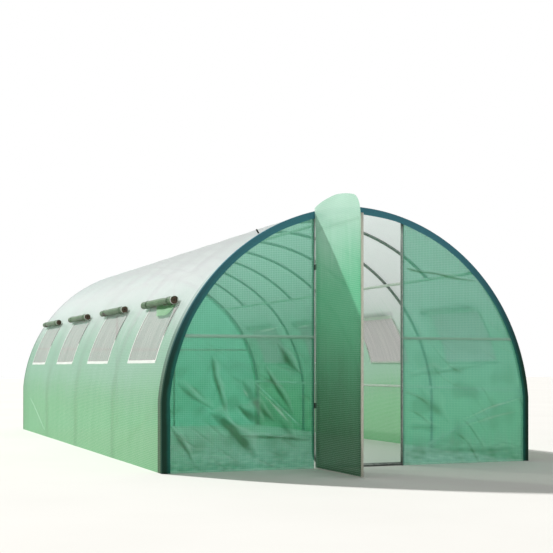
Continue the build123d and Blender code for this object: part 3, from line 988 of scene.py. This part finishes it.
# %% The bands' cloth
BAND_PITCH = 0.002
# The rear band's tones by height are painted light and shade, as on the cover.
rear_hem_film = film("rear_hem_film", (srgb(108, 186, 124), srgb(143, 188, 162), srgb(216, 215, 219)),
                     COVER_HEIGHTS, clear=0.06)


def band_cloth(name, edge, middle, high):
    """Woven hem band: darkest where it goes round the hoop, which is painted shade, greener towards its
    inner edge, and bluer high up on the arch, which is a painted reflection of the sky. The flat
    coordinate Y runs from the inner edge to the outer one."""
    material, tree = new_material(name)
    place, flat = solid_place(tree), flat_place(tree)
    cloth = cloth_height(tree, flat, BAND_PITCH)
    outwards = maths(tree, "MULTIPLY_ADD", noise(tree, place, 12.0, 4.0), 0.02, parts_of(tree, flat)["Y"])
    # Painted shade round the hoop, and a painted reflection of the sky high up on the arch.
    raised = ramp(tree, parts_of(tree, place)["Z"], 0.6, 1.95)
    colour = mixed(tree, ramp(tree, outwards, 0.016, 0.04), middle, edge)
    colour = mixed(tree, times(tree, raised, 0.85), colour, high)
    colour = mixed(tree, times(tree, cloth, 0.2), colour, middle)
    more = {"Specular IOR Level": 0.02, "Normal": bumped(tree, cloth, 0.3, 0.0005)}
    surface(tree, solid(tree, colour, 0.7, more))
    return material


hem_cloth = band_cloth("hem_band_cloth", srgb(38, 62, 50), srgb(44, 108, 96), srgb(86, 146, 166))
print("2 finishes for the bands")

# %% [markdown]
# A band's section is a flat face, a rounded outer edge and a short return over the cover. A curve with
# that section as its bevel would do for an even band. Here the section is carried along the arch as one
# array, so its width can change on the way: a slight unevenness shows that it is cloth, and towards the
# left foot the face gets wider.

# %% Front and rear bands
BAND_FACE = 0.052
BAND_RETURN = 0.034
BAND_EDGE = 0.006
BAND_WAVE, BAND_WAVE_LENGTH = 0.0016, 0.35
BAND_PUCKER, PUCKER_RATE = 0.0005, 60
FOOT_WIDER = 0.014
FOOT_FROM, FOOT_BLEND = 0.55, 0.4
EDGE_KEPT = 0.01


def band_section():
    """Outside distance and depth of the section's points: up the face, round a quarter circle at the
    outer edge, and back along the return."""
    turn = np.linspace(0, math.pi / 2, 6)
    face = stacked(np.linspace(BAND_OUTER - BAND_FACE, BAND_OUTER - BAND_EDGE, 8), 0.0)
    edge = stacked(BAND_OUTER - BAND_EDGE * (1 - np.sin(turn)), BAND_EDGE * (1 - np.cos(turn)))
    back = stacked(BAND_OUTER, np.linspace(BAND_EDGE, BAND_RETURN, 6))
    return np.concatenate([face, edge[1:], back[1:]])


def hem_band(name, node, face_y, inwards, material):
    """The band's section carried along the arch. inwards is +1 or -1, from the face to the tunnel. The
    inner edge wanders with waves, goes further in near the left foot, and the return puckers."""
    section = band_section()
    along = np.linspace(-half_girth, half_girth, 361)[:, None]
    outside, depth = section[None, :, 0], section[None, :, 1]
    inner_edge = np.clip((BAND_OUTER - EDGE_KEPT - outside) / BAND_FACE, 0, 1)
    near_foot = np.clip((-along - FOOT_FROM * half_girth) / (FOOT_BLEND * half_girth), 0, 1)
    wander = waves(along, 0 * along, BAND_WAVE_LENGTH, BAND_WAVE, 51)
    outside = outside + inner_edge * (wander - FOOT_WIDER * near_foot)
    depth = depth + BAND_PUCKER * np.sin(along * PUCKER_RATE) * (depth > BAND_EDGE)
    x, z = arch(along, outside)
    around = run_along(section)
    shape = sheet_shape(stacked(x, face_y + inwards * depth, z), stacked(along, around[None, :]))
    made = piece(name, turned(shape) if inwards < 0 else shape, "tunnel", material, [node])


hem_band("front_hem_band", "front_band", band_low.y, 1, hem_cloth)
hem_band("rear_hem_band", "rear_band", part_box("rear_band")[1].y, -1, rear_hem_film)
print("2 hem bands")

# %% [markdown]
# Beside the front band the spare edge of the cover is folded over and lies on both walls as a strip. It
# is several layers of film and hardly lets light through. It is darker than the wall, most of all low
# down, partly for the layers and partly as painted shade beside the band. It has its full width over
# most of the wall, and narrows to a few millimetres towards the roof.

# %% Folded strips beside the front band
LAP_TOP = 1.58
LAP_WIDTH = 0.076
LAP_RUN_OUT = 0.35
LAP_PROUD = 0.0009
# Darker towards the ground: partly the doubled film and partly painted shade beside the band.
lap_film = film("hem_lap_film", (srgb(46, 84, 48), srgb(94, 128, 112), srgb(196, 212, 208)),
                (0.3, 0.95, 1.5), clear=0.04, glow=0.15, threads=0.1, gloss=0.05)


def hem_lap(side):
    """The strip on one wall: a grid from LAP_TOP down to the ground and from the band's edge to the
    strip's width, which grows with the distance down over the run-out, to the power 0.7."""
    down = np.linspace(along_at(LAP_TOP), half_girth, 90)[:, None]
    width = LAP_WIDTH * np.clip((down - down[0]) / LAP_RUN_OUT, 0.02, 1) ** 0.7
    y = band_low.y + BAND_RETURN + width * np.linspace(0, 1, 5)[None, :]
    shape = sheet_shape(on_skin(side * down, y, LAP_PROUD), stacked(y, down))
    return shape if side < 0 else turned(shape)


laps = together(hem_lap(-1), hem_lap(1))
piece("front_hem_lap", laps, "tunnel", lap_film)
print("2 folded strips")

# %% [markdown]
# A short black end of strap stands up from the roof behind the front hoop. It is a small grid that
# rises straight out of the film and leans back a little at its top. The same woven cloth, in white,
# makes the tapes round the windows later on.

# %% Strap end on the roof
STRAP_ALONG = -0.762
STRAP_BEHIND = 0.12
STRAP_WIDTH, STRAP_TALL, STRAP_LEAN = 0.013, 0.034, 0.004


def woven_tape(name, dark, pale, pitch, glow=0.0):
    """Woven band or tape: two tones in a fine check of crossing threads, with soft patches. glow is the
    share that is lit from behind."""
    material, tree = new_material(name)
    cloth = cloth_height(tree, flat_place(tree), pitch)
    patches = noise(tree, solid_place(tree), 5.0, 4.0)
    share = maths(tree, "MULTIPLY_ADD", cloth, 0.35, times(tree, patches, 0.65))
    tone = mixed(tree, ramp(tree, share, 0.25, 0.75), dark, pale)
    more = {"Normal": bumped(tree, cloth, 0.3, 0.0005), "Sheen Weight": 0.25}
    surface(tree, blend(tree, glow, solid(tree, tone, 0.75, more), lit_behind(tree, tone)))
    return material


dark_strap = woven_tape("dark_strap", srgb(16, 22, 20), srgb(40, 46, 42), 0.0018)
share_across, share_up = np.linspace(-0.5, 0.5, 3)[:, None], np.linspace(0, 1, 6)[None, :]
strap_y = front_y + STRAP_BEHIND
strap_foot = cover_outside(STRAP_ALONG, strap_y)
x, z = arch(STRAP_ALONG + STRAP_WIDTH * share_across, strap_foot + STRAP_TALL * share_up)
strap = sheet_shape(stacked(x, strap_y + STRAP_LEAN * share_up**2, z),
                    stacked(STRAP_WIDTH * share_across, STRAP_TALL * share_up))
piece("roof_strap_end", strap, "tunnel", dark_strap)
print(f"strap end {1000 * STRAP_TALL:.0f} mm tall")

# %% [markdown]
# ## Windows
#
# A window is a piece of insect netting sewn into an opening, with white tape over the seams. Upright
# tapes lie along both sides, outside and inside. Level ones lie inside along the head and the sill, and
# a last one outside, just below the sill. The netting follows the arch and is slightly slack. All of
# them are grids over the same two directions as the cover, each a hair outside or inside the film.
#
# A mesh of real threads 2.5 mm apart would have millions of faces, so the netting's material cuts the
# holes out of a plain surface by a pattern.

# %% Netting and tape
NET_PITCH = 0.0025
NET_HALF_THREAD = 0.16 * NET_PITCH
NET_CLEAR = 0.44


def netting(name, colour):
    """Insect mesh: grey threads with holes between them. A place is in a hole where it is further than
    half a thread from the nearest one, both ways, and a share of each hole lets the view through."""
    material, tree = new_material(name)
    flat = flat_place(tree)
    hole = times(tree, *(maths(tree, "GREATER_THAN", apart, NET_HALF_THREAD)
                         for apart in beside_threads(tree, flat, NET_PITCH)))
    streaks = noise(tree, stretched(tree, flat, (14.0, 1.0, 1.0)), 2.0, 2.0)
    tone = mixed(tree, ramp(tree, streaks, 0.35, 0.7), tuple(0.8 * part for part in colour), colour)
    threads = blend(tree, 0.3, solid(tree, tone, 0.8), lit_behind(tree, tone))
    surface(tree, blend(tree, times(tree, hole, NET_CLEAR), threads, clear_view(tree)))
    return material


window_net = netting("window_netting", srgb(184, 177, 175))
white_tape = woven_tape("window_tape", srgb(230, 234, 227), srgb(251, 251, 247), 0.0016, glow=0.3)
print("netting and tape ready")

# %% [markdown]
# One helper makes any rectangle of cloth on a wall, so the nets and all the tapes come from the same
# formula and fit each other. Layers are counted from the film, outwards or inwards, and no two tapes
# that cross lie in the same layer. The nets are pieces of their own, as each is a sheet with its own
# size, and the tapes of a side are put together.

# %% The windows
TAPE_SIDE = 0.018
TAPE_SILL = 0.024
TAPE_LAP = 0.003
TAPE_HEAD = 0.034
TAPE_PROUD = 0.0012
NET_INSIDE = -0.0006
NET_SLACK = 0.002


def skin_patch(side, top, bottom, start, end, proud, rows, columns, slack=0.0):
    """A rectangle of cloth on the left or right wall, from along top to bottom and from start to end,
    bulging outwards by slack in its middle."""
    share_down, share_y = shares(rows, columns)
    down, y = top + (bottom - top) * share_down, start + (end - start) * share_y
    bulge = slack * np.sin(math.pi * share_down) * np.sin(math.pi * share_y)
    shape = sheet_shape(on_skin(side * down, y, proud + bulge), stacked(y, down))
    return turned(shape) if side > 0 else shape


def tape(side, top, bottom, start, end, layer, rows, columns):
    """A tape that lies some layers outside the film, or inside it, and then faces inwards."""
    shape = skin_patch(side, top, bottom, start, end, layer * TAPE_PROUD, rows, columns)
    return turned(shape) if layer < 0 else shape


def window_tapes(side, start, end):
    """The tapes of one window: upright ones along both edges, outside and inside, then the level ones
    at the head and the sill."""
    half, below = TAPE_SIDE / 2, window_sill - TAPE_LAP
    level = ((window_head - TAPE_HEAD, window_head, -3), (window_sill - half, window_sill + half, -3),
             (below, below + TAPE_SILL, 2))
    upright = [tape(side, window_head, window_sill, edge - half, edge + half, layer, 18, 3)
               for edge in (start, end) for layer in (1, -2)]
    return upright + [tape(side, top, bottom, start - half, end + half, layer, 4, 34)
                      for top, bottom, layer in level]


for side, word in ((-1, "left"), (1, "right")):
    tapes = []
    for number, (start, end) in enumerate(window_sides, 1):
        net = skin_patch(side, window_head, window_sill, start, end, NET_INSIDE, 18, 34, NET_SLACK)
        net_piece = piece(f"window_net_{word}_{number}", net, "tunnel", window_net,
                          [f"window_screens_{word}"])
        tapes += window_tapes(side, start, end)
    side_tapes = together(*tapes)
    piece(f"window_tapes_{word}", side_tapes, "tunnel", white_tape)
print(2 * BAYS, "windows with netting and tape")

# %% [markdown]
# ## Rolled-up flaps
#
# Each window has a flap of film, rolled up from below and held above the opening by two ties. A pale
# rim goes round each end, and a disc of brown rings closes the middle. The material draws the rings: it
# works out how far a place is from the roll's axis, and shades it light and dark in turn. The dark rings
# and the dark middle are partly the layered edges of the film and partly painted shade between the
# layers and in the hollow of the roll.

# %% Roll sizes and finishes
ROLL_RADIUS = 0.031
ROLL_CORE = 0.007
ROLL_TURNS = 4.6
ROLL_HEIGHT = 1.218
ROLL_GAP = 0.0003
RING_PITCH = 0.0052
roll_low, roll_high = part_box("window_rolls_left")
roll_length = roll_high.y - roll_low.y - (BAYS - 1) * bay_length
roll_starts = roll_low.y + bay_length * np.arange(BAYS)
roll_along = np.array(along_at(ROLL_HEIGHT))
roll_x, roll_z = (float(v) for v in arch(roll_along, SKIN_OUTER + ROLL_GAP + ROLL_RADIUS))
roll_tilt = math.asin((ROLL_HEIGHT - bow_z) / (BOW_RADIUS + SKIN_OUTER))
# The flap's tones by height are painted light and shade: lighter on the top of each roll and darker under
# it.
flap_film = film("rolled_flap_film", (srgb(40, 86, 38), srgb(50, 98, 46), srgb(70, 116, 62)),
                 (1.15, 1.22, 1.28), clear=0.03, glow=0.2, gloss=0.12)


def roll_end(name, brown, dark):
    """The end of a rolled-up flap: rings of brown and dark round the roll's own centre, with a dark
    middle.
    The dark is partly the layered edges and partly painted shade between the layers and in the hollow.
    The distance from the roll's axis, at either side of the tunnel, plus a share of the turn, is
    folded over the rings' pitch."""
    material, tree = new_material(name)
    place = parts_of(tree, solid_place(tree))
    across = maths(tree, "SUBTRACT", maths(tree, "ABSOLUTE", place["X"]), roll_x)
    up = maths(tree, "SUBTRACT", place["Z"], roll_z)
    distance = maths(tree, "SQRT", maths(tree, "ADD", times(tree, across, across), times(tree, up, up)))
    turn = times(tree, maths(tree, "ARCTAN2", up, across), RING_PITCH / (2 * math.pi))
    ring = maths(tree, "PINGPONG", maths(tree, "ADD", distance, turn), RING_PITCH / 2)
    share = times(tree, ramp(tree, ring, 0.0, RING_PITCH / 2), ramp(tree, distance, 0.002, 0.012))
    surface(tree, solid(tree, mixed(tree, share, dark, brown), 0.7))
    return material


core_material = roll_end("rolled_flap_end", srgb(150, 122, 104), srgb(58, 44, 40))
print(f"rolls {roll_length:.2f} m long, their middles {roll_z:.3f} m up")

# %% [markdown]
# The end of a roll shows its turns. A cylinder would look like a pipe there, so the section is a true
# spiral: the radius grows steadily with the turn. The last turn ends on the upper side of the roll,
# where the flap is sewn to the cover. Ties and rims are flat rings just outside the roll. Zips and the
# loose end of a flap are ribbons that hang down the wall.

# %% Shapes of rolls, ties and ribbons
SEAM_TURN = math.radians(125)
ROLL_LOOSE = 0.05
ROLL_RAGGED = 0.006
RIBBON_SWAY = 0.004
RIBBON_RUFFLE = 0.0015


def roll_shape(start, length, seed, rows=150, columns=46):
    """The spiral carried along the tunnel. The radius goes evenly from the core to the outside, and the
    turn ends on the upper side, next to the cover. Slow waves along the length loosen the roll, more
    at its ends, where the layers stick out unevenly. Also gives the length of the spiral."""
    share_turns, share_y = shares(rows, columns)
    radius = ROLL_CORE + (ROLL_RADIUS - ROLL_CORE) * share_turns
    turn = roll_tilt + SEAM_TURN - 2 * math.pi * ROLL_TURNS * (1 - share_turns)
    ends = 2 * share_y - 1
    y = start + length * share_y + 0 * radius
    loose = 1 + waves(y, turn * 0.05, 0.3, ROLL_LOOSE, seed) - ROLL_LOOSE * ends**4
    reach = np.minimum(radius * loose, ROLL_RADIUS)
    ragged = ROLL_RAGGED * np.sin(turn * 1.7 + seed) * ends
    points = stacked(roll_x + reach * np.cos(turn), y + ragged, roll_z + reach * np.sin(turn))
    around = run_along(np.hstack([radius * np.cos(turn), radius * np.sin(turn)]))
    return sheet_shape(points, stacked(y, around[:, None])), float(around[-1])


def tie_shape(y, width=0.016, thick=0.0015, count=40):
    """A flat tie round the roll: a ring just outside it, width wide along the tunnel."""
    turn = np.linspace(0, 2 * math.pi, count, endpoint=False)[None, :]
    radius = np.array([0, 1, 1, 0])[:, None] * thick + ROLL_RADIUS
    place = np.array([0, 0, 1, 1])[:, None] * width + y
    points = stacked(roll_x + radius * np.cos(turn), place, roll_z + radius * np.sin(turn))
    flat = stacked(turn * ROLL_RADIUS, place)
    return points.reshape(-1, 3), grid_quads(4, count, closed=True), (), flat.reshape(-1, 2)


def ribbon_down(start, width, top, bottom, proud, rows=16, columns=6, lift=0.0, splay=0.0):
    """A ribbon or small flap hanging down the wall from a height top to a height bottom, proud of the
    film, with its lower end lifted off it. It is wider by splay at its top."""
    share_down, share_y = shares(rows, columns)
    down = along_at(top) + (along_at(bottom) - along_at(top)) * share_down
    y = start + (width + splay * (1 - share_down)) * share_y + RIBBON_SWAY * np.sin(3 * share_down)
    ruffle = RIBBON_RUFFLE * np.sin(9 * share_y + 2 * share_down)
    return turned(sheet_shape(on_skin(down, y, proud + lift * share_down**2 + ruffle), stacked(y, down)))


print(f"the spiral turns {ROLL_TURNS} times")

# %% [markdown]
# All the shapes of a roll are made for the right wall, and the left ones are their mirror images. Ties,
# rims, end discs and the dark zips beside the openings are joined into one piece of each kind a side.
# They lie on the cover, as the tapes and the lines over the braces do.

# %% Rolls
TIE_SHARES = (0.14, 0.83)
RIM_WIDTH, RIM_THICK = 0.011, 0.0006
CORE_INSIDE, CORE_BACK = 0.0045, 0.003
ZIP_BEFORE, ZIP_WIDTH, ZIP_TOP, ZIP_FOOT = 0.012, 0.007, 1.2, 0.97
RIBBON_PROUD = 0.004

for side, word in ((-1, "left"), (1, "right")):
    ties, rims, cores, zips = [], [], [], []
    for number, start in enumerate(roll_starts, 1):
        end = start + roll_length
        shape, unrolled = roll_shape(start, roll_length, 60 + number)
        roll = piece(f"rolled_flap_{word}_{number}", shape if side > 0 else mirrored(shape), "tunnel",
                     flap_film, [f"window_rolls_{word}"])
        core_line = [(roll_x, start + CORE_BACK, roll_z), (roll_x, end - CORE_BACK, roll_z)]
        cores.append(tube_shape(core_line, ROLL_RADIUS - CORE_INSIDE, (1, 0, 0)))
        rims += [tie_shape(y, RIM_WIDTH, RIM_THICK) for y in (start, end - RIM_WIDTH)]
        ties += [tie_shape(start + share * roll_length) for share in TIE_SHARES]
        zip_start = window_sides[number - 1][0] - ZIP_BEFORE
        zips.append(ribbon_down(zip_start, ZIP_WIDTH, ZIP_TOP, ZIP_FOOT, RIBBON_PROUD))
    for name, shapes, material in (("ties", ties, flap_film), ("rims", rims, white_tape),
                                   ("cores", cores, core_material), ("zips", zips, dark_strap)):
        shape = together(*shapes)
        shape = shape if side > 0 else mirrored(shape)
        piece(f"roll_{name}_{word}", shape, "tunnel", material)
print(f"{2 * BAYS} rolled flaps, each {roll_length:.2f} by {unrolled:.2f} m unrolled")

# %% [markdown]
# The first flap on the left was rolled carelessly: a corner of it hangs out below the roll, wide at the
# top and lifted off the netting at its lower edge. It is a cloth of its own with a lighter green, which
# is painted light: the sun it catches and the light through its single layer.

# %% Loose end under the first roll
TAIL_LENGTH = 0.31
TAIL_SPLAY = 0.22
TAIL_TOP, TAIL_FOOT = 1.212, 1.118
TAIL_LIFT = 0.02
TAIL_BESIDE = 0.1
# A lighter green, painted light for the sun that the loose end catches and the light through its single
# layer.
tail_film = film("flap_tail_film", (srgb(118, 190, 126), srgb(128, 198, 136), srgb(140, 206, 148)),
                 (1.1, 1.15, 1.2), clear=0.1)
tail = ribbon_down(window_sides[0][0] + TAIL_BESIDE, TAIL_LENGTH, TAIL_TOP, TAIL_FOOT, RIBBON_PROUD,
                   10, 16, TAIL_LIFT, TAIL_SPLAY)
tail_piece = piece("flap_tail_left_1", mirrored(tail), "tunnel", tail_film)

# %% [markdown]
# ## The door leaf
#
# The leaf is a sheet with an arched top on a frame of pale tube. It hangs on the left door post and
# stands open. The sheet is drawn as a grid between the ground edge and the arched edge, with the far
# top corner rounded. It is a little uneven, most of all above the top rail, where no tube holds it. A
# sleeve of the same film goes round the tube at the hinge. That tube shows through the sheet as a pale
# upright line, which is stored on the points as the glints of the end sheets are.

# %% Leaf sheet
LEAF_CORNER = 0.11
LEAF_OVERLAP = 0.02
LEAF_WAVE = 0.0025
LEAF_LOOSE_FROM, LEAF_LOOSE_BLEND = 1.7, 0.2
SLEEVE_THICK = 0.0012
STILE_SHINE = 0.36
STILE_REACH = 0.016
# The leaf's tones by height are painted shade and light: dark green at its foot and pale at its top, for
# the shade and light that fall on it as it stands open.
leaf_film = film("leaf_sheet_film", (srgb(28, 88, 46), srgb(82, 186, 134), srgb(172, 218, 194)),
                 (0.2, 1.25, 1.9), clear=0.09, glow=0.16)
leaf_low, leaf_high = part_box("leaf_sheet")
hinge_x = frame["joints"][0]["pos_m"][0]
leaf_run = np.linspace(leaf_high.y, leaf_low.y, 70)
closed_x = hinge_x - TUBE_RADIUS + (leaf_high.y - leaf_run)
leaf_top = height_at(closed_x, BAND_OUTER + LEAF_OVERLAP)
corner_depth = np.clip(LEAF_CORNER - (leaf_run - leaf_low.y), 0, LEAF_CORNER)
leaf_top = leaf_top - (LEAF_CORNER - np.sqrt(LEAF_CORNER**2 - corner_depth**2))

leaf_z = leaf_low.z + (leaf_top - leaf_low.z)[None, :] * np.linspace(0, 1, 150)[:, None]
leaf_y = np.broadcast_to(leaf_run[None, :], leaf_z.shape)
loose = np.clip((leaf_z - LEAF_LOOSE_FROM) / LEAF_LOOSE_BLEND, 0, 1)
bulge = waves(leaf_y, leaf_z, 0.5, LEAF_WAVE, 71) * (0.3 + loose)
leaf_x = box_middle("leaf_sheet", 0) - np.clip(bulge, -0.004, 0.006)
leaf_shape = sheet_shape(stacked(leaf_x, leaf_y, leaf_z), stacked(leaf_y, leaf_z))
points, quads, _, flat = tube_shape(level_line("leaf_hinge_stile", 2), TUBE_RADIUS + SLEEVE_THICK)
sleeve_piece = piece("leaf_sleeve", (points, quads, (), flat), "leaf", leaf_film)
leaf_sheet = piece("leaf_film", leaf_shape, "leaf", leaf_film, ["leaf_sheet"])
over_stile = np.exp(-(((leaf_y - box_middle("leaf_hinge_stile", 1)) / STILE_REACH) ** 2))
point_values(leaf_sheet, "shine", STILE_SHINE * over_stile)

# %% [markdown]
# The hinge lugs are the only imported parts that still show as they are. They are small steel straps
# whose solids already have the real shape, so they only get a finish.

# %% Hinge lugs
black_steel = coated_steel("hinge_steel", srgb(24, 26, 26), srgb(52, 54, 52), 0.3, 0.45)
lug_materials = frame["nodes"]["hinge_lugs"].data.materials
lug_materials.clear()
lug_materials.append(black_steel)
still_shown = [name for name, node in frame["nodes"].items() if not node.hide_render]
print("packed nodes that still show:", still_shown)

# %% [markdown]
# ## Floor and light
#
# The studio has a wide pale floor. It is one flat face with a faint unevenness in its tone, and it
# doesn't belong to the object.

# %% Floor
FLOOR_HALF = 60.0
floor_corners = [(x * FLOOR_HALF, y * FLOOR_HALF, 0) for x, y in ((-1, -1), (1, -1), (1, 1), (-1, 1))]
floor_mesh = bpy.data.meshes.new("studio_floor")
floor_mesh.from_pydata(floor_corners, [], [(0, 1, 2, 3)])
floor = bpy.data.objects.new("studio_floor", floor_mesh)
bpy.context.scene.collection.objects.link(floor)
floor_material, tree = new_material("studio_floor")
tone = mixed(tree, noise(tree, solid_place(tree), 0.6), srgb(226, 224, 218), srgb(236, 234, 229))
surface(tree, solid(tree, tone, 0.9))
floor_mesh.materials.append(floor_material)
print(f"floor {2 * FLOOR_HALF:.0f} m wide")

# %% [markdown]
# A white surround and one sun from behind and above light the tunnel as it is lit outdoors: the roof is
# bright, the lower walls are in their own shade, and the open leaf catches a wedge of light past the
# edge of the roof. The surround looks white to the camera and in reflections, but it lights the object
# at a plain level.

# %% Light
SUN_ELEVATION = 35.0
SUN_FROM_LEFT = 30.0
SUN_STRENGTH = 4.35
SUN_SPREAD = 2.5
SURROUND_STRENGTH = 0.38
sun_data = bpy.data.lights.new("sun_from_behind", "SUN")
sun_data.energy = SUN_STRENGTH
sun_data.angle = math.radians(SUN_SPREAD)
sun = bpy.data.objects.new("sun_from_behind", sun_data)
sun.rotation_euler = (math.radians(90 - SUN_ELEVATION), 0, math.radians(180 + SUN_FROM_LEFT))
bpy.context.scene.collection.objects.link(sun)

world = bpy.data.worlds.new("studio")
bpy.context.scene.world = world
world.use_nodes = True
tree = world.node_tree
tree.nodes.clear()
rays = add(tree, "ShaderNodeLightPath").outputs
seen = maths(tree, "MAXIMUM", rays["Is Camera Ray"],
             maths(tree, "MAXIMUM", rays["Is Glossy Ray"], rays["Is Transmission Ray"]))
strength = maths(tree, "MULTIPLY_ADD", seen, 1 - SURROUND_STRENGTH, SURROUND_STRENGTH)
background = add(tree, "ShaderNodeBackground", {"Color": (1, 1, 1, 1), "Strength": strength})
add(tree, "ShaderNodeOutputWorld", {"Surface": background.outputs[0]})
print(f"sun {SUN_ELEVATION:.0f} degrees up")

# %% [markdown]
# ## Camera
#
# The camera stands where the photograph was taken from, low down and to the left of the doorway. Its
# place, turn and focal length were worked out from edges whose real places are known. It looks almost
# level, so that upright tubes stay upright, and the lens is shifted to bring the horizon below the
# middle of the picture.

# %% Camera
EYE_LEFT = 3.623
EYE_BEFORE_FRONT_HOOP = 7.512
EYE_HEIGHT = 0.741
TURN_RIGHT = 21.664
TILT_UP = 0.204
FOCAL_PIXELS = 1119.9
PHOTO_SIDE = 553.0
HORIZON_ROW = 363.0
SENSOR = 36.0
camera_data = bpy.data.cameras.new("photo_view")
camera_data.sensor_width = SENSOR
camera_data.lens = FOCAL_PIXELS * SENSOR / PHOTO_SIDE
camera_data.shift_y = (HORIZON_ROW - PHOTO_SIDE / 2) / PHOTO_SIDE
camera = bpy.data.objects.new("photo_view", camera_data)
camera.location = (-EYE_LEFT, front_y - EYE_BEFORE_FRONT_HOOP, EYE_HEIGHT)
camera.rotation_euler = (math.radians(90 + TILT_UP), 0, math.radians(-TURN_RIGHT))
bpy.context.scene.collection.objects.link(camera)
bpy.context.scene.camera = camera
bpy.context.scene.view_settings.view_transform = "Standard"
print(f"camera at {tuple(round(v, 3) for v in camera.location)}, lens {camera_data.lens:.2f} mm")
